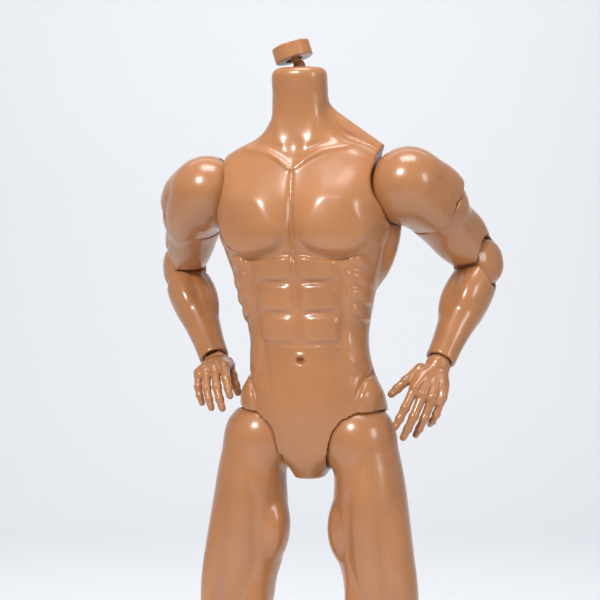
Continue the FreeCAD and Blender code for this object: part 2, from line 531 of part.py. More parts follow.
def leg_parts(side, tag):
    hip = V(side * HIP.x, HIP.y, HIP.z)
    thigh_frame, link_frame, shin_frame, thigh_length, shin_length = leg_frames(side)
    save("hip_yoke_" + tag, yoke(hip, side, 12.8))
    save("hip_block_" + tag, hip_block(hip, side))
    save("hip_pin_" + tag, cylinder(hip, V(0, 1, 0), BALL_PIN_R, -4.8, 4.8))

    # thigh: ball top with the hip block's room inside, and a fork at the knee
    thigh = limb_loft(THIGH_FORM + [(-thigh_length - 6.4, 0.0, 0.0, 9.0, 9.2)], side).fuse(sphere(V(), THIGH_BALL_R))
    thigh = thigh.cut(upside_down(limb_end(KNEE_HINGE, KNEE_FLEX)).translated(V(0, 0, -thigh_length)))
    thigh = thigh.fuse(fork_plates(KNEE_HINGE, 14.0).translated(V(0, 0, -thigh_length)))
    thigh = thigh.cut(cylinder(V(0, 0, -thigh_length), V(1, 0, 0), KNEE_HINGE["pin"] + RUN, -8.0, 8.0))
    thigh = thigh.transformed(thigh_frame.toMatrix(), True)
    thigh = thigh.cut(cylinder(hip, V(0, 0, 1), 7.4, -8.7, 20.0))
    thigh = thigh.cut(cylinder(hip, V(0, 0, 1), 3.0 + RUN, -19.0, 0.0))
    thigh = thigh.cut(cylinder(hip, V(0, 0, 1), 4.0, -18.3, -15.7))
    thigh = thigh.cut(stem_slot(hip, side, 6.6, -4.0, SPREAD + 2.0))
    save("thigh_" + tag, one_solid(thigh))

    save("knee_link_" + tag, hinge_link(KNEE_HINGE, KNEE_FLEX), link_frame)
    save("knee_pins_" + tag, hinge_pins(KNEE_HINGE), link_frame)

    # shin: tongue on top, an ankle fork below
    shin = limb_loft(SHIN_FORM + [(-shin_length - 3.0, 0.0, 0.0, 5.2, 5.8)], side)
    tongue = hinge_plate(KNEE_HINGE, -KNEE_HINGE["tongue"], KNEE_HINGE["tongue"], 14.0)
    shin = shin.cut(limb_end(KNEE_HINGE, KNEE_FLEX)).fuse(tongue)
    shin = shin.cut(cylinder(V(), V(1, 0, 0), KNEE_HINGE["pin"] + RUN, -3.0, 3.0))
    ankle = V(side * ANKLE.x, ANKLE.y, ANKLE.z)
    shin = shin.transformed(shin_frame.toMatrix(), True)
    shin = shin.cut(block(-60.0, 60.0, -60.0, 60.0, -10.0, ANKLE.z).cut(cylinder(ankle, V(1, 0, 0), 4.2, -9.0, 9.0)))
    shin = shin.cut(cylinder(ankle, V(1, 0, 0), 5.0, -2.3, 2.3)).cut(ankle_swing(ankle))
    shin = shin.cut(cylinder(ankle, V(1, 0, 0), 1.0 + RUN, -20.0, 20.0))
    save("shin_" + tag, one_solid(shin))
    foot_parts(side, tag, ankle)


def ankle_swing(ankle):
    """Room above the ankle pin for the block's shoulders when the foot points."""
    return block(ankle.x - 2.3, ankle.x + 2.3, ankle.y - 5.0, ankle.y + 5.0, ankle.z - 6.0, ankle.z + 3.0)


def foot_parts(side, tag, ankle):
    """Ankle block between the shin's ears, its pin, and the foot that rolls on it."""
    roll = V(0, 1, 0)
    low = V(ankle.x, ankle.y, ankle.z - 6.6)
    body = cylinder(ankle, V(1, 0, 0), 2.6, -2.0, 2.0).fuse(cylinder(low, roll, 2.6, -4.0, 4.0))
    body = body.fuse(block(ankle.x - 2.0, ankle.x + 2.0, ankle.y - 2.6, ankle.y + 2.6, low.z, ankle.z))
    body = body.cut(cylinder(ankle, V(1, 0, 0), 1.0, -9.0, 9.0))
    body = body.cut(cylinder(low, roll, 1.0 + RUN, -9.0, 9.0))
    save("ankle_block_" + tag, one_solid(body))
    save("ankle_pin_" + tag, cylinder(ankle, V(1, 0, 0), 1.0, -4.4, 4.4))

    rings = []
    for y, half, top in FOOT_FORM:
        rings.append(foot_ring(y, half, top))
    foot = Part.makeLoft(rings, True)
    foot.rotate(V(), V(0, 0, 1), TOE_OUT * side)
    foot.translate(V(ankle.x, ankle.y, 0.0))
    foot = foot.cut(block(-90.0, 90.0, -60.0, 60.0, -5.0, 0.0))
    # hollow round the block and clear of the shin's ears
    foot = foot.cut(cylinder(ankle, V(1, 0, 0), 4.9, -9.0, 9.0))
    foot = foot.cut(block(ankle.x - 9.0, ankle.x + 9.0, ankle.y - 4.9, ankle.y + 4.9, ankle.z, ankle.z + 9.0))
    foot = foot.cut(cylinder(low, roll, 3.0, -4.3, 4.3))
    foot = foot.cut(block(ankle.x - 4.0, ankle.x + 4.0, ankle.y - 4.3, ankle.y + 4.3, low.z, ankle.z + 9.0))
    foot = foot.cut(cylinder(low, roll, 1.0, -6.4, 6.4))
    save("foot_" + tag, one_solid(foot))
    save("foot_pin_" + tag, cylinder(low, roll, 1.0, -6.2, 6.2))


def foot_ring(y, half, top):
    """Cross section of the foot: round instep, and a sole 0.5 mm too deep that is cut flat afterwards."""
    left = Part.LineSegment(V(-half, y, 1.4), V(-half + 1.0, y, -0.5)).toShape()
    sole = Part.LineSegment(V(-half + 1.0, y, -0.5), V(half - 1.0, y, -0.5)).toShape()
    right = Part.LineSegment(V(half - 1.0, y, -0.5), V(half, y, 1.4)).toShape()
    arch = Part.Arc(V(half, y, 1.4), V(0.0, y, top), V(-half, y, 1.4)).toShape()
    return Part.Wire([left, sole, right, arch])


pelvis_parts()
chest_parts()
neck_parts()
for sign, name in ((1, "left"), (-1, "right")):
    arm_parts(sign, name)
    leg_parts(sign, name)
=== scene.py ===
import json
import math
from collections import namedtuple

import bpy
import numpy as np
from mathutils import Matrix, Vector


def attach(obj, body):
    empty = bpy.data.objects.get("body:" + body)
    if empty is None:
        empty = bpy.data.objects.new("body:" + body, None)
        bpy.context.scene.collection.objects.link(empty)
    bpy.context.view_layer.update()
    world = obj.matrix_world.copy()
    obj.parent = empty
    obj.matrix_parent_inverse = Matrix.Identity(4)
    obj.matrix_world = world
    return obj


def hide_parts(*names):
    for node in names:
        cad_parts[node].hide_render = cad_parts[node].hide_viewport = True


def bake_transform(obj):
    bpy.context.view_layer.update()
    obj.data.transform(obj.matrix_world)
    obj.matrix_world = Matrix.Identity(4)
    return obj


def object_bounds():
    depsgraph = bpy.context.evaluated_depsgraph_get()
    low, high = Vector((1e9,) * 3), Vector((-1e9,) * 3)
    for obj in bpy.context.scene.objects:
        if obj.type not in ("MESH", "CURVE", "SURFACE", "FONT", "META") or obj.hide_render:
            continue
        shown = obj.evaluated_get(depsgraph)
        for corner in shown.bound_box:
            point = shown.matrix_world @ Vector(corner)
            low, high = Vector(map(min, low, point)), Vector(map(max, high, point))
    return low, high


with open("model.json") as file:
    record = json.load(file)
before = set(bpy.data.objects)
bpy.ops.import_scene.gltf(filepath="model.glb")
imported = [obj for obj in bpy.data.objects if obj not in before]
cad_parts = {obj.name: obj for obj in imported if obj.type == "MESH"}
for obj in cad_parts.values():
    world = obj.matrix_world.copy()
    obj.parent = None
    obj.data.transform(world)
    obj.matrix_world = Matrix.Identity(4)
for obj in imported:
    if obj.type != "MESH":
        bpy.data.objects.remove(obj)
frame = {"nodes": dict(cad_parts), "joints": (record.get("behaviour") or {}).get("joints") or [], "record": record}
CAD_BOX = [list(corner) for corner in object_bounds()]

# All modelling below is in millimetres; meshes are written in metres.
MM = 1000.0
FAR = 40.0                                   # field value of empty space
MARGIN = 2.5                                 # a shape's distances are worked out this far beyond its box
STEP = 0.5         # grid step of the big pieces
FINE = 0.3         # grid step of hands, feet and the connector
GAP = 0.35                                   # clearance between moving shells
SEAM_GAP = 0.2                               # clearance at a swivel seam
SIDES = ((1, "left"), (-1, "right"))
MINUS_Y, PLUS_Y = (1, -1), (1, 1)            # which way a groove or patch faces: an axis and its sign

JOINTS = {joint["name"]: joint for joint in frame["joints"]}


def unit(vector):
    vector = np.asarray(vector, float)
    return vector / np.linalg.norm(vector)


def joint_point(name):
    return np.array(JOINTS[name]["pos_m"], float) * MM


def joint_axis(name):
    return unit(JOINTS[name]["axis"])


# ---------------------------------------------------------------- own axes of a piece
class Axes:
    """Origin and three unit directions, kept as the rows of a matrix."""

    def __init__(self, origin, z, near_x=None, near_y=None):
        self.origin = np.asarray(origin, float)
        z = unit(z)
        if near_x is not None:
            y = unit(np.cross(z, near_x))
            x = np.cross(y, z)
        else:
            x = unit(np.cross(near_y, z))
            y = np.cross(z, x)
        self.rows = np.array([x, y, z])

    def to_local(self, point):
        return self.rows @ (np.asarray(point, float) - self.origin)

    def turn_local(self, vector):
        return self.rows @ np.asarray(vector, float)

    def to_world(self, points):
        return points @ self.rows + self.origin


WAIST = joint_point("waist_bend")
# the body's own origin: on the floor under the pelvis, 1 mm in front of the waist hinge
BODY = Axes(WAIST - np.array([0.0, 1.0, WAIST[2]]), (0, 0, 1), near_x=(1, 0, 0))


# ---------------------------------------------------------------- shapes as distance functions
Shape = namedtuple("Shape", "distance low high")
EVERYWHERE = (np.full(3, -1000.0), np.full(3, 1000.0))


def turned(angles):
    """Rotation matrix from three turns in degrees about x, then y, then z."""
    a, b, c = (math.radians(angle) for angle in angles)
    about_x = np.array([[1, 0, 0], [0, math.cos(a), -math.sin(a)], [0, math.sin(a), math.cos(a)]])
    about_y = np.array([[math.cos(b), 0, math.sin(b)], [0, 1, 0], [-math.sin(b), 0, math.cos(b)]])
    about_z = np.array([[math.cos(c), -math.sin(c), 0], [math.sin(c), math.cos(c), 0], [0, 0, 1]])
    return about_z @ about_y @ about_x


def blob(centre, radii, angles=(0, 0, 0)):
    """Ellipsoid."""
    centre = np.asarray(centre, float)
    radii = np.asarray(radii, float)
    turn = turned(angles)

    def distance(x, y, z):
        x, y, z = x - centre[0], y - centre[1], z - centre[2]
        own = [turn[0, i] * x + turn[1, i] * y + turn[2, i] * z for i in range(3)]
        near = np.sqrt(sum((own[i] / radii[i]) ** 2 for i in range(3)))
        slope = np.sqrt(sum((own[i] / radii[i] ** 2) ** 2 for i in range(3))) + 1e-6
        return near * (near - 1.0) / slope

    reach = np.sqrt(((turn * radii) ** 2).sum(1))
    return Shape(distance, centre - reach, centre + reach)


def ball(centre, radius):
    centre = np.asarray(centre, float)

    def distance(x, y, z):
        return np.sqrt((x - centre[0]) ** 2 + (y - centre[1]) ** 2 + (z - centre[2]) ** 2) - radius

    return Shape(distance, centre - radius, centre + radius)


def rod(start, end, first, last=None):
    """Round-ended rod that tapers from one radius to the other."""
    start, end = np.asarray(start, float), np.asarray(end, float)
    last = first if last is None else last
    along = end - start
    length = float(along @ along)

    def distance(x, y, z):
        x, y, z = x - start[0], y - start[1], z - start[2]
        t = np.clip((x * along[0] + y * along[1] + z * along[2]) / length, 0.0, 1.0)
        away = (x - t * along[0]) ** 2 + (y - t * along[1]) ** 2 + (z - t * along[2]) ** 2
        return np.sqrt(away) - (first + (last - first) * t)

    reach = max(first, last)
    return Shape(distance, np.minimum(start, end) - reach, np.maximum(start, end) + reach)


def drum(centre, axis, radius, low, high):
    """Flat-ended cylinder between two distances along its axis."""
    centre, axis = np.asarray(centre, float), unit(axis)

    def distance(x, y, z):
        x, y, z = x - centre[0], y - centre[1], z - centre[2]
        t = x * axis[0] + y * axis[1] + z * axis[2]
        away = np.sqrt(np.maximum(x * x + y * y + z * z - t * t, 0.0)) - radius
        return np.maximum(away, np.maximum(t - high, low - t))

    ends = np.array([centre + axis * low, centre + axis * high])
    return Shape(distance, ends.min(0) - radius, ends.max(0) + radius)


def half_space(point, normal):
    """Everything behind a plane, the normal pointing out of it."""
    point, normal = np.asarray(point, float), unit(normal)

    def distance(x, y, z):
        return (x - point[0]) * normal[0] + (y - point[1]) * normal[1] + (z - point[2]) * normal[2]

    return Shape(distance, *EVERYWHERE)


def brick(low, high, axes_rows=np.eye(3), centre=(0, 0, 0)):
    """Box given by its low and high corner in turned axes about a centre."""
    low, high = np.asarray(low, float), np.asarray(high, float)
    centre = np.asarray(centre, float)
    middle, half = (low + high) / 2.0, (high - low) / 2.0

    def distance(x, y, z):
        x, y, z = x - centre[0], y - centre[1], z - centre[2]
        own = [axes_rows[i, 0] * x + axes_rows[i, 1] * y + axes_rows[i, 2] * z for i in range(3)]
        sides = [np.abs(own[i] - middle[i]) - half[i] for i in range(3)]
        return np.maximum(np.maximum(sides[0], sides[1]), sides[2])

    ends = list(zip(low, high))
    corners = np.array([[a, b, c] for a in ends[0] for b in ends[1] for c in ends[2]])
    corners = corners @ axes_rows + centre
    return Shape(distance, corners.min(0), corners.max(0))


def intersection(first, second):
    """Where two shapes overlap; the first one's box bounds it."""

    def distance(x, y, z):
        return np.maximum(first.distance(x, y, z), second.distance(x, y, z))

    return Shape(distance, first.low, first.high)


def spline(at, knots, values):
    """Smooth curve through given values, level outside its ends."""
    knots, values = np.asarray(knots, float), np.asarray(values, float)
    slopes = np.gradient(values, knots)
    at = np.clip(at, knots[0], knots[-1])
    i = np.clip(np.searchsorted(knots, at) - 1, 0, len(knots) - 2)
    width = knots[i + 1] - knots[i]
    t = (at - knots[i]) / width
    return ((2 * t ** 3 - 3 * t ** 2 + 1) * values[i] + (t ** 3 - 2 * t ** 2 + t) * width * slopes[i]
            + (3 * t ** 2 - 2 * t ** 3) * values[i + 1] + (t ** 3 - t ** 2) * width * slopes[i + 1])


def loft(rings, power=2.0):
    """Smooth body through rings (height, centre x, centre y, half width, half depth); power 2 is round."""
    rings = np.array(sorted(rings), float)
    heights = rings[:, 0]

    def distance(x, y, z):
        centre_x, centre_y, half_x, half_y = (spline(z, heights, rings[:, i]) for i in range(1, 5))
        across, deep = np.abs(x - centre_x) / half_x, np.abs(y - centre_y) / half_y
        near = (across ** power + deep ** power) ** (1.0 / power) + 1e-6
        slope_x = (across / near) ** (power - 1.0) / half_x
        slope_y = (deep / near) ** (power - 1.0) / half_y
        side = (near - 1.0) / np.sqrt(slope_x ** 2 + slope_y ** 2 + 1e-9)
        return smooth_max(side, np.maximum(z - heights[-1], heights[0] - z), 1.0)

    reach_x = np.abs(rings[:, 1]).max() + rings[:, 3].max()
    reach_y = np.abs(rings[:, 2]).max() + rings[:, 4].max()
    low, high = np.array([-reach_x, -reach_y, heights[0]]), np.array([reach_x, reach_y, heights[-1]])
    return Shape(distance, low, high)


def smooth_min(a, b, blend):
    if blend <= 0:
        return np.minimum(a, b)
    near = np.clip(0.5 + 0.5 * (b - a) / blend, 0.0, 1.0)
    return b + (a - b) * near - blend * near * (1.0 - near)


def smooth_max(a, b, blend):
    return -smooth_min(-a, -b, blend)


# ---------------------------------------------------------------- a sculpted piece
class Field:
    """Distance samples on a grid in a piece's own axes; negative is inside."""

    def __init__(self, low, high, step):
        self.low, self.step = np.asarray(low, float), step
        count = np.ceil((np.asarray(high, float) - self.low) / step).astype(int) + 1
        self.ticks = [self.low[i] + step * np.arange(count[i]) for i in range(3)]
        self.value = np.full(count, FAR, np.float32)

    def window(self, low, high):
        """The part of the grid inside a box, and its coordinates."""
        cuts = []
        for i in range(3):
            size = len(self.ticks[i])
            first = int(np.clip(np.floor((low[i] - self.low[i]) / self.step), 0, size))
            last = int(np.clip(np.ceil((high[i] - self.low[i]) / self.step) + 1, 0, size))
            cuts.append(slice(first, last))
        x = self.ticks[0][cuts[0]][:, None, None]
        y = self.ticks[1][cuts[1]][None, :, None]
        z = self.ticks[2][cuts[2]][None, None, :]
        return tuple(cuts), x, y, z

    def strip(self, low, high, across):
        """Window bounded in two axes only: its slices, its coordinates and those two of them."""
        lows, highs = (edge.copy() for edge in EVERYWHERE)
        lows[list(across)], highs[list(across)] = low, high
        cuts, *place = self.window(lows, highs)
        return cuts, place, [place[axis] for axis in across]

    def around(self, shape, blend):
        return self.window(shape.low - blend - MARGIN, shape.high + blend + MARGIN)

    def add(self, shape, blend=1.0):
        cuts, x, y, z = self.around(shape, blend)
        self.value[cuts] = smooth_min(self.value[cuts], shape.distance(x, y, z), blend)

    def cut(self, shape, blend=0.0):
        cuts, x, y, z = self.around(shape, blend)
        self.value[cuts] = smooth_max(self.value[cuts], -shape.distance(x, y, z), blend)

    def keep(self, shape, blend=0.0):
        cuts, x, y, z = self.window(*EVERYWHERE)
        self.value[cuts] = smooth_max(self.value[cuts], shape.distance(x, y, z), blend)

    def score(self, path, depth, width, across=(0, 2), facing=MINUS_Y):
        """Groove (or ridge, with a negative depth) along a path drawn on the side that faces one way.

        path holds (first, second, strength) in the two axes across; strength 0 fades the end out.
        """
        path = np.asarray(path, float)
        reach = 3.0 * width
        cuts, place, flat = self.strip(path[:, :2].min(0) - reach, path[:, :2].max(0) + reach, across)
        nearest, strength = None, None
        for (u0, v0, s0), (u1, v1, s1) in zip(path[:-1], path[1:]):
            run = (u1 - u0) ** 2 + (v1 - v0) ** 2
            t = np.clip(((flat[0] - u0) * (u1 - u0) + (flat[1] - v0) * (v1 - v0)) / run, 0.0, 1.0)
            gap = (flat[0] - u0 - t * (u1 - u0)) ** 2 + (flat[1] - v0 - t * (v1 - v0)) ** 2
            here = s0 + (s1 - s0) * t
            if nearest is None:
                nearest, strength = gap, here
            else:
                strength = np.where(gap < nearest, here, strength)
                nearest = np.minimum(gap, nearest)
        side = np.clip(place[facing[0]] * facing[1] / 2.0 + 0.5, 0.0, 1.0)
        self.value[cuts] = self.value[cuts] + depth * strength * side * np.exp(-nearest / width ** 2)

    def swell(self, centre, radii, height, turn=0.0, power=2.0, soft=(1.0, 1.0), facing=MINUS_Y):
        """Raises a patch on the side that faces one way.

        radii are half width, reach down and reach up; soft is how much of the patch is its fading edge,
        at its lower and its upper end.
        """
        wide, down, up = radii
        centre, reach = np.asarray(centre), max(radii)
        cuts, place, flat = self.strip(centre - reach, centre + reach, (0, 2))
        u, w = flat[0] - centre[0], flat[1] - centre[1]
        cos, sin = math.cos(math.radians(turn)), math.sin(math.radians(turn))
        u, w = cos * u + sin * w, cos * w - sin * u
        w = np.where(w < 0, w / down, w / up)
        near = (np.abs(u / wide) ** power + np.abs(w) ** power) ** (1.0 / power)
        rise = np.clip(w * 0.5 + 0.5, 0.0, 1.0)
        edge = soft[0] + (soft[1] - soft[0]) * rise * rise * (3.0 - 2.0 * rise)
        t = np.clip((1.0 - near) / edge, 0.0, 1.0)
        side = np.clip(place[facing[0]] * facing[1] / 2.0 + 0.5, 0.0, 1.0)
        self.value[cuts] = self.value[cuts] - height * side * t * t * (3.0 - 2.0 * t)

    def sample(self, grid_points):
        """Trilinear value and slope at points given in grid steps."""
        size = np.array(self.value.shape) - 2
        base = np.clip(np.floor(grid_points).astype(int), 0, size)
        fx, fy, fz = (grid_points - base).T
        i, j, k = base.T
        v = self.value
        c = [[[v[i + a, j + b, k + d] for d in (0, 1)] for b in (0, 1)] for a in (0, 1)]
        wx, wy, wz = (1 - fx, fx), (1 - fy, fy), (1 - fz, fz)
        value = sum(c[a][b][d] * wx[a] * wy[b] * wz[d] for a in (0, 1) for b in (0, 1) for d in (0, 1))
        slope_x = sum((c[1][b][d] - c[0][b][d]) * wy[b] * wz[d] for b in (0, 1) for d in (0, 1))
        slope_y = sum((c[a][1][d] - c[a][0][d]) * wx[a] * wz[d] for a in (0, 1) for d in (0, 1))
        slope_z = sum((c[a][b][1] - c[a][b][0]) * wx[a] * wy[b] for a in (0, 1) for b in (0, 1))
        return value, np.stack([slope_x, slope_y, slope_z], 1)

    def surface(self):
        """Quads of the zero surface (surface nets), as points in own axes and faces."""
        inside = self.value < 0
        corners = [(a, b, c) for a in (0, 1) for b in (0, 1) for c in (0, 1)]
        nx, ny, nz = (n - 1 for n in self.value.shape)
        count = sum(inside[a:a + nx, b:b + ny, c:c + nz].astype(np.int8) for a, b, c in corners)
        active = (count > 0) & (count < 8)
        cells = np.argwhere(active)
        total, hits = np.zeros((len(cells), 3)), np.zeros(len(cells))
        for first in corners:
            for axis in range(3):
                if first[axis]:
                    continue
                second = tuple(first[i] + (i == axis) for i in range(3))
                va = self.value[tuple((cells + first).T)]
                vb = self.value[tuple((cells + second).T)]
                crossing = (va < 0) != (vb < 0)
                t = np.where(crossing, va / np.where(crossing, va - vb, 1.0), 0.0)
                point = np.array(first, float) + t[:, None] * np.eye(3)[axis]
                total += point * crossing[:, None]
                hits += crossing
        points = cells + total / hits[:, None]
        number = np.full(active.shape, -1)
        number[active] = np.arange(len(cells))
        faces = []
        for axis in range(3):
            u, w = (axis + 1) % 3, (axis + 2) % 3
            low = [slice(1, n - 1) for n in self.value.shape]
            low[axis] = slice(0, self.value.shape[axis] - 1)
            high = list(low)
            high[axis] = slice(1, self.value.shape[axis])
            here, there = inside[tuple(low)], inside[tuple(high)]
            edges = np.argwhere(here != there)
            outward = here[tuple(edges.T)]
            edges = edges + np.array([0 if i == axis else 1 for i in range(3)])
            ring = []
            for du, dw in ((0, 0), (1, 0), (1, 1), (0, 1)):
                cell = edges.copy()
                cell[:, u] -= du
                cell[:, w] -= dw
                ring.append(number[tuple(cell.T)])
            quads = np.stack(ring, 1)
            quads[~outward] = quads[~outward][:, ::-1]
            faces.append(quads)
        faces = np.concatenate(faces)
        points = self.relax(points, faces)
        return points * self.step + self.low, faces

    def relax(self, points, faces, rounds=3):
        """Evens the mesh out and puts it back on the surface."""
        pairs = np.concatenate([faces[:, [i, (i + 1) % 4]] for i in range(4)])
        degree = np.bincount(pairs[:, 0], minlength=len(points))
        for _ in range(rounds):
            sums = [np.bincount(pairs[:, 0], points[pairs[:, 1], i], len(points)) for i in range(3)]
            mean = np.stack(sums, 1)
            points = points + 0.5 * (mean / degree[:, None] - points)
            value, slope = self.sample(points)
            size = np.maximum((slope ** 2).sum(1), 0.05)
            move = value / size
            points = points - np.clip(move, -1.0, 1.0)[:, None] * slope
        return points


def make_piece(name, field, axes, bend=None):
    """Mesh object of a field, in metres; bend may move the points in the piece's own axes first."""
    points, faces = field.surface()
    if bend is not None:
        points = bend(points)
    points = axes.to_world(points) / MM
    mesh = bpy.data.meshes.new(name)
    mesh.vertices.add(len(points))
    mesh.vertices.foreach_set("co", points.astype(np.float32).ravel())
    mesh.loops.add(len(faces) * 4)
    mesh.loops.foreach_set("vertex_index", faces.astype(np.int32).ravel())
    mesh.polygons.add(len(faces))
    mesh.polygons.foreach_set("loop_start", np.arange(0, len(faces) * 4, 4, dtype=np.int32))
    mesh.update(calc_edges=True)
    mesh.polygons.foreach_set("use_smooth", np.ones(len(faces), bool))
    mesh.validate()
    piece = bpy.data.objects.new(name, mesh)
    bpy.context.scene.collection.objects.link(piece)
    return piece


def place_shell(name, field, axes, node):
    """Makes the hard piece that stands for one CAD node and rides on its body."""
    piece = make_piece(name, field, axes)
    piece.data.materials.append(SHELL)
    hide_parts(node)
    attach(piece, node)


# ---------------------------------------------------------------- materials
def new_material(name):
    """Node material, its node tree and its main shader."""
    material = bpy.data.materials.new(name)
    material.use_nodes = True
    return material, material.node_tree, material.node_tree.nodes["Principled BSDF"]


def set_inputs(tree, node, inputs):
    """Gives each named input a value, or a link if the value is another node's output."""
    for name, value in inputs.items():
        if isinstance(value, bpy.types.NodeSocket):
            tree.links.new(value, node.inputs[name])
        else:
            node.inputs[name].default_value = value


def add_node(tree, kind, inputs):
    node = tree.nodes.new("ShaderNode" + kind)
    set_inputs(tree, node, inputs)
    return node


def add_ramp(tree, value, dark, light, low=0.0, high=1.0):
    """Colour ramp from a dark tone to a light one."""
    ramp = add_node(tree, "ValToRGB", {"Fac": value})
    for element, colour, position in zip(ramp.color_ramp.elements, (dark, light), (low, high)):
        element.position = position
        element.color = (*colour, 1.0)
    return ramp.outputs["Color"]


def brighter(colour, times, plus=0.0):
    return tuple(min(1.0, c * times + plus) for c in colour)


def skin_material(name, colour, roughness, coat, soft):
    """Moulded tan plastic or soft vinyl: faint cloudy colour, painted highlight on sharp edges, painted shade in
    creases, fine bump and a clear sheen.
    """
    material, tree, shader = new_material(name)
    place = add_node(tree, "TexCoord", {}).outputs["Object"]

    def noise(scale, detail):
        return add_node(tree, "TexNoise", {"Scale": scale, "Detail": detail, "Vector": place}).outputs["Fac"]

    tones = add_ramp(tree, noise(55.0, 3.0), brighter(colour, 0.90), brighter(colour, 1.07), 0.30, 0.70)

    # painted highlight: sharp edges get a lighter tone, found from the mesh's pointiness
    pointed = add_node(tree, "NewGeometry", {}).outputs["Pointiness"]
    edge = add_node(tree, "MapRange", {"Value": pointed, "From Min": 0.54, "From Max": 0.66, "To Max": 0.45})
    edge_highlight_tone = (*brighter(colour, 1.25, 0.02), 1.0)
    with_edge_highlight = add_node(tree, "MixRGB", {"Fac": edge.outputs["Result"], "Color1": tones, "Color2": edge_highlight_tone})
    # painted shade: creases get a darker tone, found from the mesh's pointiness
    crease_shade = add_node(tree, "MapRange", {"Value": pointed, "From Min": 0.45, "From Max": 0.37,
                                         "To Max": 0.55})
    shade = add_node(tree, "MixRGB", {"Fac": crease_shade.outputs["Result"], "Color1": with_edge_highlight.outputs["Color"],
                                      "Color2": (0.62, 0.50, 0.44, 1.0)})
    shade.blend_type = "MULTIPLY"

    polish = add_node(tree, "MapRange", {"Value": noise(240.0, 4.0), "To Min": roughness * 0.85,
                                         "To Max": roughness * 1.2})
    bump = add_node(tree, "Bump", {"Height": noise(2600.0, 2.0), "Strength": 0.05, "Distance": 0.0001})
    set_inputs(tree, shader, {
        "Base Color": shade.outputs["Color"], "Roughness": polish.outputs["Result"],
        "Normal": bump.outputs["Normal"], "Coat Weight": coat, "Coat Roughness": 0.12,
        "Subsurface Weight": soft, "Subsurface Radius": (1.0, 0.45, 0.25), "Subsurface Scale": 0.0022,
        "Specular IOR Level": 0.5})
    return material


def metal_material(name, colour, roughness):
    """Turned steel: streaks round the metal."""
    material, tree, shader = new_material(name)
    place = add_node(tree, "TexCoord", {}).outputs["Object"]
    stretch = add_node(tree, "Mapping", {"Vector": place, "Scale": (400.0, 4000.0, 400.0)})
    streak = add_node(tree, "TexNoise", {"Vector": stretch.outputs["Vector"], "Scale": 1.0, "Detail": 4.0})
    tones = add_ramp(tree, streak.outputs["Fac"], brighter(colour, 0.75), colour)
    polish = add_node(tree, "MapRange", {"Value": streak.outputs["Fac"], "To Min": roughness * 0.7,
                                         "To Max": roughness * 1.3})
    set_inputs(tree, shader, {"Base Color": tones, "Roughness": polish.outputs["Result"], "Metallic": 1.0})
    return material


TAN = (0.400, 0.168, 0.064)
SKIN = skin_material("soft_tan_vinyl", TAN, 0.30, 0.35, 0.12)
SHELL = skin_material("hard_tan_plastic", tuple(c * 0.97 for c in TAN), 0.28, 0.40, 0.06)
JOINT = skin_material("satin_tan_plastic", tuple(c * 0.80 for c in TAN), 0.42, 0.05, 0.04)
FRAME = skin_material("dark_frame_plastic", (0.10, 0.09, 0.08), 0.5, 0.0, 0.0)
STEEL = metal_material("turned_steel", (0.55, 0.54, 0.52), 0.32)
ZINC = metal_material("zinc_screw", (0.40, 0.40, 0.42), 0.38)
BY_SLOT = {"soft_skin": SKIN, "hard_shell": SHELL, "joint_plastic": JOINT, "frame_plastic": FRAME,
           "pin_steel": STEEL, "screw_steel": ZINC}


def paint_cad_nodes():
    """Carried-over CAD nodes get the finish of their slot, but the wrist pins show in the shell's plastic."""
    slots = {part["node"]: part["material_slot"] for part in frame["record"]["subparts"]}
    for node, piece in frame["nodes"].items():
        piece.data.materials.clear()
        piece.data.materials.append(SHELL if node.startswith("wrist_pin") else BY_SLOT[slots[node]])


# ---------------------------------------------------------------- torso
def lean(z):
    """Sideways drift of the torso's middle line with height."""
    return spline(z, (139, 150, 160, 172, 183, 202, 221, 240, 252, 285),
                  (0.0, 0.8, 1.2, 0.9, 0.2, -0.9, -1.7, -2.4, -2.6, -2.6))


# rings of the torso: height, half width, front y, back y
TORSO_RINGS = [
    (139.0, 4.6, -5.0, 8.0), (143.0, 7.4, -8.6, 12.0), (150.0, 19.2, -11.0, 15.0), (158.0, 24.4, -12.0, 16.0),
    (166.0, 24.2, -12.4, 15.4), (174.0, 21.2, -12.6, 13.8), (183.0, 19.9, -12.6, 13.0),
    (192.0, 21.0, -13.4, 13.4), (202.0, 23.4, -14.4, 14.2), (212.0, 26.2, -15.8, 15.0),
    (221.0, 28.4, -16.8, 15.6), (231.0, 29.6, -16.2, 15.4), (239.0, 30.0, -13.8, 14.2),
    (244.5, 28.4, -11.4, 13.0), (248.5, 23.0, -9.8, 11.8), (252.0, 15.6, -9.0, 11.0),
    (257.0, 10.8, -8.8, 9.6), (265.0, 9.3, -9.6, 7.6), (272.0, 9.2, -10.8, 6.2), (277.0, 9.0, -10.6, 5.6)]
TORSO_POWER = 2.25           # 2 would be an ellipse; more is boxier
BELLY_ROWS = (208.2, 198.4, 188.2)
BELLY_CREASES = (203.3, 193.4, 183.2)
RIB_ROWS = (210.5, 204.6, 198.8, 193.2)
SHOULDER_BALL = 12.6
SHOULDER_ROOM = 13.05        # radius of the torso's hollow for the deltoid
HIP_BALL = 12.8
HIP_ROOM = 13.3              # radius of the torso's hollow for the thigh
YOKE_STEM = 3.2              # radius of the bores for the shoulder and hip yokes
ARM_HOLE_OUT = 4.2           # how far outside the shoulder centre the rounded arm hole is struck from
ARM_HOLE_CORNER = 8.2        # radius of the arm hole's upper corner
DELTOID_RAISED = {1: np.array([0.8, 0.0, 0.8]), -1: np.zeros(3)}     # the left deltoid stands higher


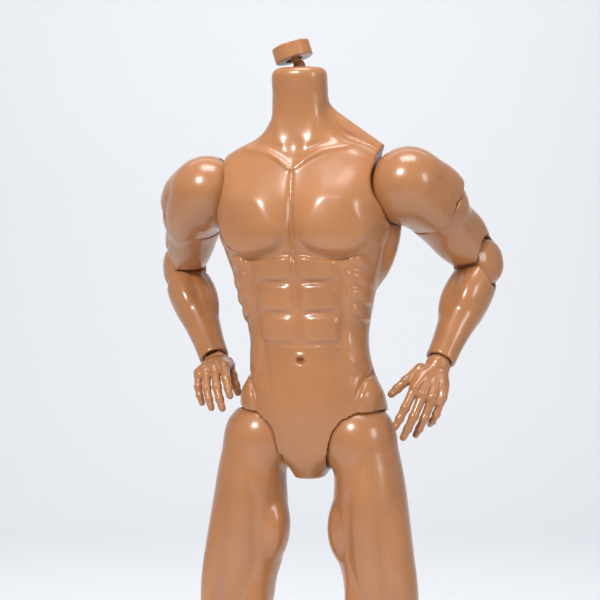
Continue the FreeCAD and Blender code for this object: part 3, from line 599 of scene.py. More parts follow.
def torso_front(half):
    """Chest and belly muscles, built on one side and mirrored."""
    # pectoral plate: hard lower edge, fading out under the collar bone
    half.swell((14.8, 225.0), (15.6, 13.4, 20.0), 2.8, power=2.5, soft=(0.18, 1.0))
    half.swell((13.6, 219.5), (12.0, 7.6, 14.0), 0.9, soft=(0.8, 1.0))
    half.swell((22.0, 231.0), (9.0, 12.0, 13.0), 0.8)
    # collar bone, running up and out from the pit of the neck
    half.score([(0.4, 240.6, 0.7), (4.4, 243.8, 1.0), (9.0, 246.4, 0.8), (18.0, 248.4, 0.4)], -0.8, 1.0)
    half.score([(2.0, 244.6, 0.2), (5.0, 247.4, 1.0), (9.6, 249.4, 0.8), (16.0, 250.6, 0.2)], 0.5, 1.6)
    half.score([(4.6, 247.5, 0.2), (6.6, 255.0, 0.8), (8.0, 263.0, 0.2)], -0.5, 2.0)
    half.swell((0.0, 246.0), (4.6, 6.0, 8.0), -0.9)
    # belly segments, three short rows and the long lower one
    for height in BELLY_ROWS:
        half.swell((7.3, height), (7.0, 4.9, 4.9), 0.75, power=4.0, soft=(0.4, 0.4))
    half.swell((0.0, 166.0), (12.0, 22.0, 15.0), 0.7, soft=(1.0, 0.8))
    # flank: rib margin, saw muscle and the oblique over the hip
    half.swell((19.6, 202.0), (6.6, 12.0, 9.0), 0.7, turn=-14, soft=(0.6, 1.0))
    for height in RIB_ROWS:
        half.swell((20.2, height), (4.8, 2.6, 2.6), 0.9, turn=-32, soft=(0.6, 0.6))
    half.swell((16.4, 180.5), (4.6, 8.0, 9.0), 0.8, turn=12, soft=(0.6, 0.8))
    half.swell((21.0, 165.5), (4.6, 6.0, 7.5), 1.0, turn=-20, soft=(0.5, 0.8))


def torso_back(half):
    """Back muscles and seat, built on one side and mirrored."""
    half.add(blob((22.6, 7.4, 218.5), (8.0, 7.8, 18.0), (0, 15, 0)), 3.0)
    half.swell((15.0, 230.0), (9.0, 8.0, 11.0), 1.4, turn=16, facing=PLUS_Y)
    half.swell((6.0, 240.0), (6.4, 16.0, 12.0), 1.0, facing=PLUS_Y)
    half.swell((5.6, 190.0), (4.6, 26.0, 22.0), 1.4, soft=(1.0, 0.8), facing=PLUS_Y)
    half.add(blob((11.4, 9.6, 154.5), (10.6, 8.6, 11.0), (0, 10, 0)), 2.6)
    half.swell((18.0, 200.0), (7.0, 12.0, 12.0), 0.8, facing=PLUS_Y)


def torso_creases(half):
    """Drawn lines of the sculpt: depth in millimetres at strength 1."""
    # breast bone and the line down the belly
    half.score([(0, 240, 0.5), (0, 232, 0.8), (0, 218, 1.0), (0, 211, 0.8)], 0.9, 0.8)
    half.score([(0, 212, 0.8), (0, 196, 1.0), (0, 184, 0.6), (0, 172, 0.2)], 0.45, 0.8)
    # under the pectoral
    path = [(1.0, 212.6, 0.6), (9, 211.2, 1.0), (17, 211.4, 1.0), (23.5, 215.2, 0.9), (28, 222, 0.6)]
    half.score(path, 1.1, 0.8)
    # rows of the belly and the line beside them
    for height in BELLY_CREASES:
        half.score([(0.8, height, 0.6), (6, height + 0.2, 1.0), (13.0, height + 0.4, 0.5)], 0.45, 0.6)
    path = [(15.2, 212, 0.2), (15.6, 203, 0.8), (14.6, 192, 1.0), (12.6, 181, 0.7), (11.0, 166, 0.2)]
    half.score(path, 0.75, 1.1)
    # groove over the hip bone running down to the crotch
    half.score([(18.6, 178.0, 0.2), (16.6, 170.0, 0.7), (13.6, 162.0, 0.7), (9.5, 153.0, 0.2)], 0.5, 1.4)
    half.score([(21.6, 175.0, 1.0), (19.0, 171.6, 1.0), (17.2, 167.0, 0.7), (16.4, 161.0, 0.2)], 1.1, 0.7)
    # side of the trunk: edge of the lat
    half.score([(24.6, 211.0, 0.2), (23.4, 200, 0.8), (20.6, 190, 0.5)], 0.5, 1.0)
    # spine, shoulder blade and seat
    half.score([(0, 250, 0.3), (0, 235, 1.0), (0, 190, 1.0), (0, 168, 0.6)], 1.2, 1.6, facing=PLUS_Y)
    half.score([(8.4, 238, 0.2), (10.6, 228, 0.9), (15.5, 219, 0.8), (22, 216, 0.3)], 0.8, 1.5, facing=PLUS_Y)
    half.score([(0, 164, 0.4), (0, 156, 1.0), (0, 146, 1.0)], 2.2, 1.4, facing=PLUS_Y)
    half.score([(5, 214, 0.2), (9.5, 204, 0.8), (13, 190, 0.5)], 0.6, 1.6, facing=PLUS_Y)


def upright_point(joint):
    """A joint's place in the torso before its lean is put in."""
    point = BODY.to_local(joint_point(joint))
    point[0] -= float(lean(point[2]))
    return point


def cut_leg_opening(torso, side, tag):
    """Ball-shaped hollow for the thigh, open above to the side so that the leg can lift."""
    hip = upright_point("hip_swing_" + tag)
    torso.cut(ball(hip, HIP_ROOM), 0.25)
    beside = drum(hip, (side, 0, 0), 16.0, 7.4 - abs(hip[0]), 20.0)
    torso.cut(intersection(beside, half_space(hip - np.array([0, 0, 5.0]), (0, 0, 1))), 0.4)
    torso.cut(drum(hip, (side, 0, 0), YOKE_STEM, -12.0, 0.0), 0.0)


def cut_arm_hole(torso, side, tag):
    """Hollow for the deltoid's ball, and the rounded edge that frames it."""
    shoulder = upright_point("shoulder_swing_" + tag)
    torso.cut(ball(shoulder, SHOULDER_ROOM), 0.25)
    torso.cut(drum(shoulder, (side, 0.25, -0.75), SHOULDER_ROOM, 0.0, 20.0), 0.25)
    torso.cut(ball(shoulder + DELTOID_RAISED[side] * (0, 0, 1), SHOULDER_ROOM), 0.25)
    torso.cut(drum(shoulder + np.array([side * -0.5, 0, 8.6]), (0, 1, 0), ARM_HOLE_CORNER, -30, 30), 0.35)
    torso.cut(drum(shoulder + np.array([side * ARM_HOLE_OUT, 0, 2.0]), (0, 1, 0), 14.0, -30, 30), 0.35)
    torso.cut(drum(shoulder, (side, 0, 0), YOKE_STEM, -21.0, 0.0), 0.0)


def build_torso():
    """One soft skin from crotch to neck, its middle line drifting sideways with height."""
    overlap = 4                  # grid steps that the half reaches past the middle
    half = Field((-overlap * STEP, -24, 136), (36, 24, 279), STEP)
    rings = [(z, 0.0, (front + back) / 2.0, half_width, (back - front) / 2.0)
             for z, half_width, front, back in TORSO_RINGS]
    half.add(loft(rings, TORSO_POWER), 0.0)
    torso_front(half)
    torso_back(half)
    torso_creases(half)

    # mirror the half across x = 0
    whole = Field((-36, -24, 136), (36, 24, 279), STEP)
    inner = half.value[overlap:]
    whole.value = np.concatenate([inner[:0:-1], inner], 0)
    whole.low = np.array([-STEP * (len(inner) - 1), half.low[1], half.low[2]])
    whole.ticks = [whole.low[0] + STEP * np.arange(whole.value.shape[0]), half.ticks[1], half.ticks[2]]

    # navel
    whole.cut(blob((-0.3, -13.0, 178.2), (1.5, 2.4, 1.2)), 0.5)
    whole.add(blob((-0.3, -12.1, 179.9), (2.0, 0.8, 0.6)), 0.6)

    # the left shoulder is drawn up a little
    whole.add(rod((9.0, 1.0, 259.0), (27.4, 1.5, 246.2), 3.2, 2.6), 3.0)

    # rounded top of the neck
    whole.keep(half_space((0, -2.6, 275.2), (0, -0.10, 1)), 3.2)

    for side, tag in SIDES:
        cut_leg_opening(whole, side, tag)
        cut_arm_hole(whole, side, tag)

    # bore of the neck post
    top = whole.low[2] + 200.0
    neck = upright_point("neck_turn")
    whole.cut(drum(neck, BODY.turn_local(joint_axis("neck_turn")), 2.6, -14.0, top), 0.6)

    def bend(points):
        moved = points.copy()
        moved[:, 0] += lean(points[:, 2])
        return moved

    torso = make_piece("torso_skin", whole, BODY, bend)
    torso.data.materials.append(SKIN)
    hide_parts("chest_skin", "pelvis_skin")
    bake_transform(torso)


# ---------------------------------------------------------------- neck connector
NECK_TILT = (-4.0, 31.0)


def build_connector():
    pivot = joint_point("neck_tilt")
    mount = next(m for m in frame["record"]["mounts"] if m["name"] == "head_pin")
    up = unit(mount["axis"])
    axes = Axes(pivot, up, near_y=joint_axis("neck_tilt"))
    radius = mount["dims"]["r_mm"]
    disc = Field((-9, -9, -4), (9, 9, 6), FINE)
    soften = 0.7
    disc.add(drum((0, 0, 0), (0, 0, 1), radius - soften, -0.9, 2.7), 0.0)
    disc.value -= soften
    disc.cut(drum((0, 0, 0), (0, 1, 0), 2.4, -1.8, 1.8), 0.3)
    tilt_axis, stud = Vector(joint_axis("neck_tilt")), Vector(joint_axis("neck_turn"))
    # room for the stud at every tilt
    for tilt in np.arange(NECK_TILT[0], NECK_TILT[1] + 1, 6.0):
        way = Matrix.Rotation(math.radians(-tilt), 3, tilt_axis) @ stud
        disc.cut(drum((0, 0, 0), axes.turn_local(way), 2.3, -12.0, 0.5), 0.3)
    disc.cut(drum((0, 0, 0), (0, 1, 0), 0.8, -4.1, 4.1), 0.0)
    # moulding mark on the top
    disc.cut(rod((-2.6, -2.2, 3.9), (2.2, -3.2, 3.9), 0.75), 0.3)
    place_shell("connector_disc", disc, axes, "head_connector")


# ---------------------------------------------------------------- arms
def stem_room(field, axes, centre, side, half_width, low, high):
    """Fan-shaped slot for a yoke's stem, from inwards (0 degrees) towards upwards (90)."""
    middle = axes.to_local(centre)
    field.cut(drum(middle, axes.turn_local((0, 1, 0)), 4.5, -half_width, half_width), 0.2)
    across = np.array([0.0, 1.0, 0.0])
    for angle in np.arange(low, high + 1, 6.0):
        turn = math.radians(angle)
        way = np.array([-side * math.cos(turn), 0.0, math.sin(turn)])
        rows = np.array([axes.turn_local(each) for each in (way, across, np.cross(way, across))])
        field.cut(brick((0, -half_width, -2.8), (22, half_width, 2.8), rows, middle), 0.2)


DELTOID_RINGS = [(-30, 0.6, -0.6, 8.4, 8.6), (-22, 0.9, -1.0, 9.3, 9.6), (-18, 1.2, -1.4, 10.2, 10.6),
                 (-12, 1.6, -1.8, 11.2, 11.7), (-6, 1.2, -1.4, 12.0, 12.4), (0, 0.4, -0.4, 11.8, 12.0),
                 (6, 0, 0, 9.6, 9.8), (10, 0, 0, 6.0, 6.0)]
UPPER_ARM_RINGS = [(-52, 0, 0, 7.0, 7.2), (-45, 0, 0, 7.2, 7.4), (-40, 0, 0, 7.6, 7.8), (-36, 0, 0, 7.9, 8.2),
                   (-31, 0, 0, 8.3, 8.7), (-26, 0.3, -0.2, 8.8, 9.2), (-22, 0.6, -0.6, 9.3, 9.6),
                   (-18, 1.2, -1.2, 10.4, 10.6), (-11, 1.6, -1.6, 11.2, 11.6)]
BICEPS_SEAM = -13.0          # height of the seam between deltoid and upper arm, from the shoulder centre


def ringed(rings, out):
    """Rings with their sideways offsets turned to the outer side."""
    return loft([(z, x * out, y, wide, deep) for z, x, y, wide, deep in rings])


def add_muscle(field, out, centre, radii, blend, tip=0.0, tilt=0.0):
    """Ellipsoid set for x pointing outwards; tip turns it about x and tilt about y, in degrees."""
    field.add(blob((out * centre[0], centre[1], centre[2]), radii, (tip, out * tilt, 0)), blend)


def groove(field, out, path, depth, width, facing):
    """Groove drawn in x and z on one side of a limb, set for x pointing outwards."""
    field.score([(out * x, z, strength) for x, z, strength in path], depth, width, facing=facing)


def arm_axes(tag):
    shoulder, first = joint_point("shoulder_lift_" + tag), joint_point("elbow_upper_" + tag)
    second, wrist = joint_point("elbow_lower_" + tag), joint_point("wrist_turn_" + tag)
    hinge = joint_axis("elbow_upper_" + tag)
    upper = Axes(shoulder, shoulder - first, near_x=hinge)
    link = Axes((first + second) / 2.0, first - second, near_x=hinge)
    fore = Axes(second, second - wrist, near_x=hinge)
    return upper, link, fore


def build_deltoid(side, tag):
    upper = arm_axes(tag)[0]
    shoulder = joint_point("shoulder_lift_" + tag)
    out = -side                  # the arm's own x runs to the figure's right
    field = Field((-18, -18, -30), (18, 18, 16), STEP)
    field.add(ball((0, 0, 0), SHOULDER_BALL), 0.0)
    field.add(ball(upper.turn_local(DELTOID_RAISED[side]), SHOULDER_BALL), 0.4)
    field.add(ringed(DELTOID_RINGS, out), 1.0)
    # three heads of the muscle
    add_muscle(field, out, (6.0, -6.0, -9.0), (6.4, 6.6, 13.0), 2.4, tip=-4)
    add_muscle(field, out, (6.6, 4.4, -8.5), (5.8, 6.2, 12.6), 2.4)
    add_muscle(field, out, (-3.6, -8.6, -9.0), (7.0, 4.6, 11.6), 2.4)
    field.score([(-2.2, 2, 0.0), (-1.4, -6, 0.7), (-0.6, -14, 0.9), (0.4, -21, 0.4)], 0.7, 1.4,
                across=(1, 2), facing=(0, out))
    field.keep(half_space((0, 0, BICEPS_SEAM), (0, 0, -1)), 0.5)
    # bore for the upper arm's peg, and the groove for its collar
    field.cut(drum((0, 0, 0), (0, 0, 1), 4.1, -14.0, -11.3), 0.0)
    field.cut(drum((0, 0, 0), (0, 0, 1), 3.1, -26.0, -9.0), 0.2)
    stem_room(field, upper, shoulder, side, 2.75, -2.0, 52.0)
    place_shell("deltoid_shell_" + tag, field, upper, "deltoid_" + tag)


def build_upper_arm(side, tag):
    upper = arm_axes(tag)[0]
    out = -side                  # the arm's own x runs to the figure's right
    elbow = upper.to_local(joint_point("elbow_upper_" + tag))
    field = Field((-14, -14, -50), (14, 14, -8), STEP)
    field.add(ringed(UPPER_ARM_RINGS, out), 0.0)
    # biceps in front, triceps behind
    add_muscle(field, out, (0.6, 4.2, -25.0), (5.6, 5.2, 11.5), 1.8, tip=4)
    add_muscle(field, out, (2.4, -4.6, -27.0), (5.4, 4.8, 10.0), 1.8, tip=-3)
    between_heads = [(0.4, -20, 0.3), (0.2, -28, 0.9), (-0.6, -37, 0.5)]
    field.score(between_heads, 0.8, 1.1, across=(1, 2), facing=(0, out))
    field.score(between_heads, 0.7, 1.1, across=(1, 2), facing=(0, -out))
    field.keep(half_space((0, 0, BICEPS_SEAM - SEAM_GAP), (0, 0, 1)), 0.4)
    cut_for_barrel(field, elbow, ELBOW, -1.0)
    add_fork(field, elbow, ELBOW, 9.0)
    # peg that turns in the deltoid's bore, and its collar
    field.add(drum((0, 0, 0), (0, 0, 1), 3.0, -24.0, -9.8), 0.0)
    field.add(drum((0, 0, 0), (0, 0, 1), 3.8, -13.8, -11.6), 0.0)
    place_shell("upper_arm_shell_" + tag, field, upper, "upper_arm_" + tag)


# a double hinge: radius and half width of its barrel, half the distance between its pins, radius of the eyes,
# half width of the tongue, the fork plates' sides, radius of the pins and the largest angle at one pin
Hinge = namedtuple("Hinge", "barrel half reach eye tongue fork pin flex")
ELBOW = Hinge(6.3, 6.3, 2.6, 2.8, 1.4, (2.5, 4.2), 0.9, 49.0)
KNEE = Hinge(8.6, 8.4, 4.0, 4.0, 2.2, (3.4, 6.0), 1.4, 62.0)


def cut_for_barrel(field, pivot, hinge, way):
    """End of a limb at a barrel hinge; way -1 is the upper limb's end, +1 the lower limb's top."""
    pivot = np.asarray(pivot, float)
    flex = math.radians(hinge.flex)
    slant_point = pivot + np.array([0, math.sin(flex), way * math.cos(flex)]) * (hinge.reach - GAP * 0.5)
    slant = half_space(slant_point, (0, -math.sin(flex), -way * math.cos(flex)))
    beyond = half_space(pivot + np.array([0, 0, way * (hinge.reach - GAP)]), (0, 0, -way))
    bending_side = half_space(pivot, (0, -1, 0))

    def gone(x, y, z):
        wedge = np.maximum(slant.distance(x, y, z), bending_side.distance(x, y, z))
        return np.minimum(beyond.distance(x, y, z), wedge)

    field.cut(Shape(gone, *EVERYWHERE), 0.3)
    field.cut(drum(pivot, (1, 0, 0), hinge.barrel + GAP, -FAR, FAR), 0.3)


def add_fork(field, pivot, hinge, height):
    """Two plates that reach down to the hinge pin."""
    inner, outer = hinge.fork
    for low, high in ((inner, outer), (-outer, -inner)):
        field.add(brick((low, -hinge.eye, 0.0), (high, hinge.eye, height), np.eye(3), pivot), 0.0)
        field.add(drum(pivot, (1, 0, 0), hinge.eye, low, high), 0.0)
    field.cut(drum(pivot, (1, 0, 0), hinge.pin, -outer - 1.0, outer + 1.0), 0.0)


def add_tongue(field, hinge, depth):
    """One plate that reaches up to the hinge pin at the origin."""
    field.add(brick((-hinge.tongue, -hinge.eye, -depth), (hinge.tongue, hinge.eye, 0.0)), 0.0)
    field.add(drum((0, 0, 0), (1, 0, 0), hinge.eye, -hinge.tongue, hinge.tongue), 0.0)
    field.cut(drum((0, 0, 0), (1, 0, 0), hinge.pin, -hinge.tongue - 1.0, hinge.tongue + 1.0), 0.0)


def build_link(name, axes, hinge, node):
    """Barrel of a double hinge: two round ends, slots above for the fork and below for the tongue."""
    size = hinge.barrel + hinge.reach + 2.0
    field = Field((-hinge.half - 2, -hinge.barrel - 2, -size), (hinge.half + 2, hinge.barrel + 2, size), FINE)
    soften = 0.8
    half, radius = hinge.half - soften, hinge.barrel - soften
    for z in (hinge.reach, -hinge.reach):
        field.add(drum((0, 0, z), (1, 0, 0), radius, -half, half), 0.0)
    field.add(brick((-half, -radius, -hinge.reach), (half, radius, hinge.reach)), 0.0)
    field.value -= soften
    for x in (-half, half):
        field.add(blob((x, 0, 0), (2.0, hinge.barrel - 0.6, hinge.barrel + hinge.reach - 1.2)), 0.6)
    field.keep(ball((0, 0, 0), hinge.barrel + hinge.reach), 1.2)
    thick = hinge.eye + GAP
    inner, outer = hinge.fork
    for way, low, high in ((1, inner, outer), (1, -outer, -inner), (-1, -hinge.tongue, hinge.tongue)):
        pivot = np.array([0, 0, way * hinge.reach])
        low, high = low - GAP, high + GAP
        field.cut(drum(pivot, (1, 0, 0), thick, low, high), 0.1)
        for angle in np.arange(0.0, hinge.flex + 2.0, 6.0):
            turn = math.radians(angle)
            along = np.array([0, math.sin(turn), way * math.cos(turn)])
            rows = np.array([[1.0, 0, 0], np.cross(along, (1.0, 0, 0)), along])
            field.cut(brick((low, -thick, 0.0), (high, thick, 20.0), rows, pivot), 0.1)
        field.cut(drum(pivot, (1, 0, 0), hinge.pin, -hinge.half + 0.6, hinge.half - 0.6), 0.0)
    place_shell(name, field, axes, node)


FOREARM_RINGS = [(-46, 0, 0, 5.1, 4.7), (-38, 0, 0, 5.2, 4.8), (-31, 0, 0, 5.5, 5.1), (-24, 0, 0, 6.2, 5.9),
                 (-16, 0.3, 0, 7.3, 6.9), (-9, 0.4, 0, 7.7, 7.6), (-2, 0, 0, 7.4, 7.5), (4, 0, 0, 7.0, 7.2)]


def build_forearm(side, tag):
    fore = arm_axes(tag)[2]
    out = -side                  # the arm's own x runs to the figure's right
    wrist = fore.to_local(joint_point("wrist_turn_" + tag))
    field = Field((-14, -14, -48), (14, 14, 8), STEP)
    field.add(ringed(FOREARM_RINGS, out), 0.0)
    # thumb-side muscle and the fleshy inner side
    add_muscle(field, out, (4.0, 2.4, -8.0), (4.6, 5.2, 11.6), 1.8, tip=6)
    add_muscle(field, out, (-3.2, 1.8, -11.0), (5.0, 5.4, 12.0), 1.8, tip=4)
    add_muscle(field, out, (0.4, -4.0, -12.0), (4.2, 3.6, 12.0), 1.8)
    groove(field, out, [(0.8, -2, 0.2), (1.0, -12, 0.8), (0.6, -24, 0.4)], 0.6, 1.2, PLUS_Y)
    groove(field, out, [(2.6, -4, 0.2), (2.2, -14, 0.8), (1.2, -26, 0.3)], 0.5, 1.1, MINUS_Y)
    cut_for_barrel(field, (0, 0, 0), ELBOW, 1.0)
    add_tongue(field, ELBOW, 9.0)
    field.keep(half_space((0, 0, wrist[2] + 2.2), (0, 0, -1)), 0.4)
    field.cut(ball(wrist, WRIST_BALL + GAP), 0.2)
    # bore of the wrist peg, and the groove that holds its collar
    field.cut(drum((0, 0, 0), (0, 0, 1), 2.0, -60.0, wrist[2] + 11.0), 0.1)
    field.cut(drum((0, 0, 0), (0, 0, 1), 2.75, wrist[2] + 8.3, wrist[2] + 10.7), 0.0)
    place_shell("forearm_shell_" + tag, field, fore, "forearm_" + tag)


# ---------------------------------------------------------------- hands
# directions of the back of the hand and of the palm's run to the fingers
HAND_POSE = {1: ((0.42, -0.86, 0.28), (-0.174, -0.564, -0.806)),
             -1: ((-0.234, -0.363, 0.91), (0.16, -0.96, -0.23))}
WRIST_BALL = 4.2
PALM_RINGS = [(-14, 0.2, 0, 5.9, 1.6), (-12.6, 0.2, 0, 6.2, 2.0), (-9.5, 0.4, 0, 6.6, 2.5),
              (-5.5, 0.4, 0.1, 5.8, 2.9), (-2, 0, 0.1, 4.3, 3.2), (0.5, 0, 0, 3.9, 3.4)]
# knuckle (offset to the thumb, height), splay, the three bone lengths and the radius
FINGERS = {"index": (5.0, -11.6, 5.0, (7.2, 4.0, 3.0), 1.6),
           "middle": (1.7, -12.4, 2.0, (8.0, 4.4, 3.3), 1.65),
           "ring": (-1.6, -11.9, -1.0, (7.4, 4.0, 3.0), 1.55),
           "little": (-4.7, -10.6, -4.0, (5.8, 3.2, 2.5), 1.4)}
# bend at each of a finger's three joints
BENDS = {1: {"index": (12, 14, 8), "middle": (16, 20, 12), "ring": (24, 28, 16), "little": (32, 36, 20)},
         -1: {"index": (20, 20, 12), "middle": (30, 27, 16), "ring": (30, 28, 16), "little": (32, 31, 18)}}
THUMBS = {1: (5.2, -3.6, 28.0, (14, 10, 8)), -1: (4.8, -4.0, 12.0, (38, 12, 10))}
THUMB_BONES = (6.4, 3.8, 2.6)


def hand_axes(side, tag):
    back, pointing = HAND_POSE[side]
    return Axes(joint_point("wrist_bend_" + tag), -np.array(pointing), near_y=back)


def add_finger(field, side, base, splay, bends, bones, radius):
    """Three bones with fuller joints and a nail."""
    point, bend, size = np.array(base, float), 0.0, radius
    for turn, bone in zip(bends, bones):
        bend += turn
        down, sideways = math.radians(bend), math.radians(splay)
        way = np.array([side * math.sin(sideways) * math.cos(down), -math.sin(down),
                        -math.cos(sideways) * math.cos(down)])
        nxt = point + way * bone
        field.add(rod(point, nxt, size, size * 0.90), 0.5)
        field.add(ball(point, size * 1.05), 0.5)
        point, size = nxt, size * 0.90
    lift = np.cross(np.array([side * 1.0, 0, 0]), way) * side
    nail = point - way * 0.5 + lift * size * 0.80
    field.add(blob(nail, (size * 0.62, size * 0.30, size * 0.75), (bend, 0, 0)), 0.15)


def build_hand(side, tag):
    axes = hand_axes(side, tag)
    field = Field((-13, -20, -34), (15, 8, 7), FINE)
    field.add(loft([(z, side * x, y, half, thick) for z, x, y, half, thick in PALM_RINGS]), 0.0)
    field.add(ball((0, 0, 0), WRIST_BALL), 0.4)
    # ball of the thumb and heel of the hand
    x, z, splay, bends = THUMBS[side]
    add_muscle(field, side, (3.8, -1.6, -6.2), (3.1, 2.3, 4.6), 1.4, tilt=22)
    add_muscle(field, side, (-3.4, -1.2, -6.6), (2.6, 2.0, 4.8), 1.4)
    add_finger(field, side, (side * x, -0.3, z), splay, bends, THUMB_BONES, 1.8)
    for finger, (x, z, splay, bones, radius) in FINGERS.items():
        # knuckle, and the tendon that runs to it over the back of the hand
        field.add(rod((side * x * 0.45, 1.7, -4.0), (side * x, 0.9, z), 0.7, radius * 0.9), 1.0)
        add_finger(field, side, (side * x, 0.0, z), splay, BENDS[side][finger], bones, radius)
    for first, second in (("index", "middle"), ("middle", "ring"), ("ring", "little")):
        x = (FINGERS[first][0] + FINGERS[second][0]) / 2.0 * side
        path = [(x * 0.6, -6.0, 0.0), (x, -11.6, 1.0), (x, -13.6, 0.6)]
        field.score(path, 0.45, 0.6, across=(0, 2), facing=PLUS_Y)
    wrist_slot(field, axes, tag)
    place_shell("hand_shell_" + tag, field, axes, "hand_" + tag)


def wrist_slot(field, axes, tag):
    """Room for the wrist peg's eye, and for its stem as the hand swings."""
    pin = axes.turn_local(joint_axis("wrist_bend_" + tag))
    up = axes.turn_local(joint_axis("wrist_turn_" + tag))
    up = up * np.sign(up[2])
    field.cut(drum((0, 0, 0), pin, 2.65, -1.5, 1.5), 0.1)
    for angle in np.arange(-40.0, 41.0, 10.0):
        turn = math.radians(angle)
        way = up * math.cos(turn) + np.cross(pin, up) * math.sin(turn)
        field.cut(drum((0, 0, 0), way, 2.25, 0.0, 9.0), 0.1)
    field.cut(drum((0, 0, 0), pin, 0.72, -9.0, 9.0), 0.0)


# ---------------------------------------------------------------- legs
THIGH_RINGS = [(-86, 0, 0, 8.8, 9.0), (-74, 0, 0, 9.0, 9.4), (-64, 0, 0, 9.2, 9.8), (-50, 0.1, 0, 10.1, 11.1),
               (-38, 1.4, 0, 11.4, 12.4), (-26, 1.9, 0, 12.0, 13.2), (-17, 2.2, 0, 11.6, 13.0),
               (-9, 2.0, 0, 11.3, 12.4), (0, 0.4, 0, 11.6, 11.9), (7, 0, 0, 9.0, 9.2)]
SHIN_RINGS = [(-68, 0, 0, 5.0, 5.6), (-58, 0, 0.2, 5.1, 5.7), (-48, 0, 0.4, 5.4, 6.1),
              (-36, 0, 0.9, 6.9, 7.7), (-24, 0.2, 1.8, 8.5, 9.3), (-14, 0.2, 1.5, 8.8, 9.6),
              (-4, 0, 0.4, 8.8, 9.4), (6, 0, 0, 8.8, 9.2)]


def leg_axes(tag):
    hip, first = joint_point("hip_spread_" + tag), joint_point("knee_upper_" + tag)
    second, ankle = joint_point("knee_lower_" + tag), joint_point("ankle_pitch_" + tag)
    hinge = joint_axis("knee_upper_" + tag)
    thigh = Axes(hip, hip - first, near_x=hinge)
    link = Axes((first + second) / 2.0, first - second, near_x=hinge)
    shin = Axes(second, second - ankle, near_x=hinge)
    return thigh, link, shin


def build_thigh(side, tag):
    thigh = leg_axes(tag)[0]
    hip = joint_point("hip_spread_" + tag)
    knee = thigh.to_local(joint_point("knee_upper_" + tag))
    field = Field((-19, -20, -92), (19, 20, 16), STEP)
    field.add(ball((0, 0, 0), HIP_BALL), 0.0)
    field.add(ringed(THIGH_RINGS, side), 1.2)
    # front: middle, outer and inner heads, and the hip flexor band
    add_muscle(field, side, (2.6, -7.4, -33.0), (6.4, 6.0, 26.0), 2.6, tip=2)
    add_muscle(field, side, (9.4, -2.2, -40.0), (5.0, 8.0, 25.0), 2.4, tilt=-3)
    add_muscle(field, side, (-5.0, -5.2, -57.0), (4.8, 5.4, 12.5), 2.2, tilt=4)
    add_muscle(field, side, (-5.8, 1.4, -26.0), (5.2, 8.6, 19.0), 2.6, tilt=6)
    add_muscle(field, side, (-8.6, -1.6, -29.0), (4.6, 7.0, 10.0), 2.0, tilt=4)
    # back: hamstrings
    add_muscle(field, side, (4.6, 6.6, -38.0), (5.4, 6.4, 26.0), 2.4)
    add_muscle(field, side, (-3.0, 6.8, -40.0), (5.0, 6.0, 26.0), 2.4)
    outer_line = [(6.6, -10, 0.0), (7.0, -26, 0.8), (5.6, -48, 0.9), (4.4, -64, 0.3)]
    inner_line = [(2.0, -8, 0.2), (-3.0, -20, 0.8), (-5.0, -38, 0.8), (-2.6, -54, 0.3)]
    groove(field, side, outer_line, 0.7, 1.6, MINUS_Y)
    groove(field, side, inner_line, 0.7, 1.7, MINUS_Y)
    groove(field, side, [(1.0, -10, 0.2), (0.8, -40, 0.8), (0.8, -66, 0.4)], 0.9, 1.7, PLUS_Y)
    # knee cap
    field.add(blob((0, -7.0, knee[2] + 6.0), (5.0, 3.4, 6.0)), 1.6)
    cut_for_barrel(field, knee, KNEE, -1.0)
    add_fork(field, knee, KNEE, 14.0)
    # room for the hip block and yoke
    field.cut(drum((0, 0, 0), thigh.turn_local((0, 0, 1)), 7.5, -8.8, 20.0), 0.4)
    field.cut(drum((0, 0, 0), thigh.turn_local((0, 0, 1)), 4.1, -19.0, 0.0), 0.0)
    stem_room(field, thigh, hip, side, 6.6, -2.0, 42.0)
    place_shell("thigh_shell_" + tag, field, thigh, "thigh_" + tag)


ANKLE_SLOT = (2.35, 5.05)    # half width and half depth of the shin's slot for the ankle block
ANKLE_PIN = 1.0              # radius of both pins' bores
ANKLE_DROP = 6.6             # from the upper pin down to the lower one
EAR_ROOM = 4.95              # radius of the foot's hollow for the ears of the shin
BLOCK_ROOM = (4.05, 4.35)    # half width and half depth of the foot's slot for the ankle block


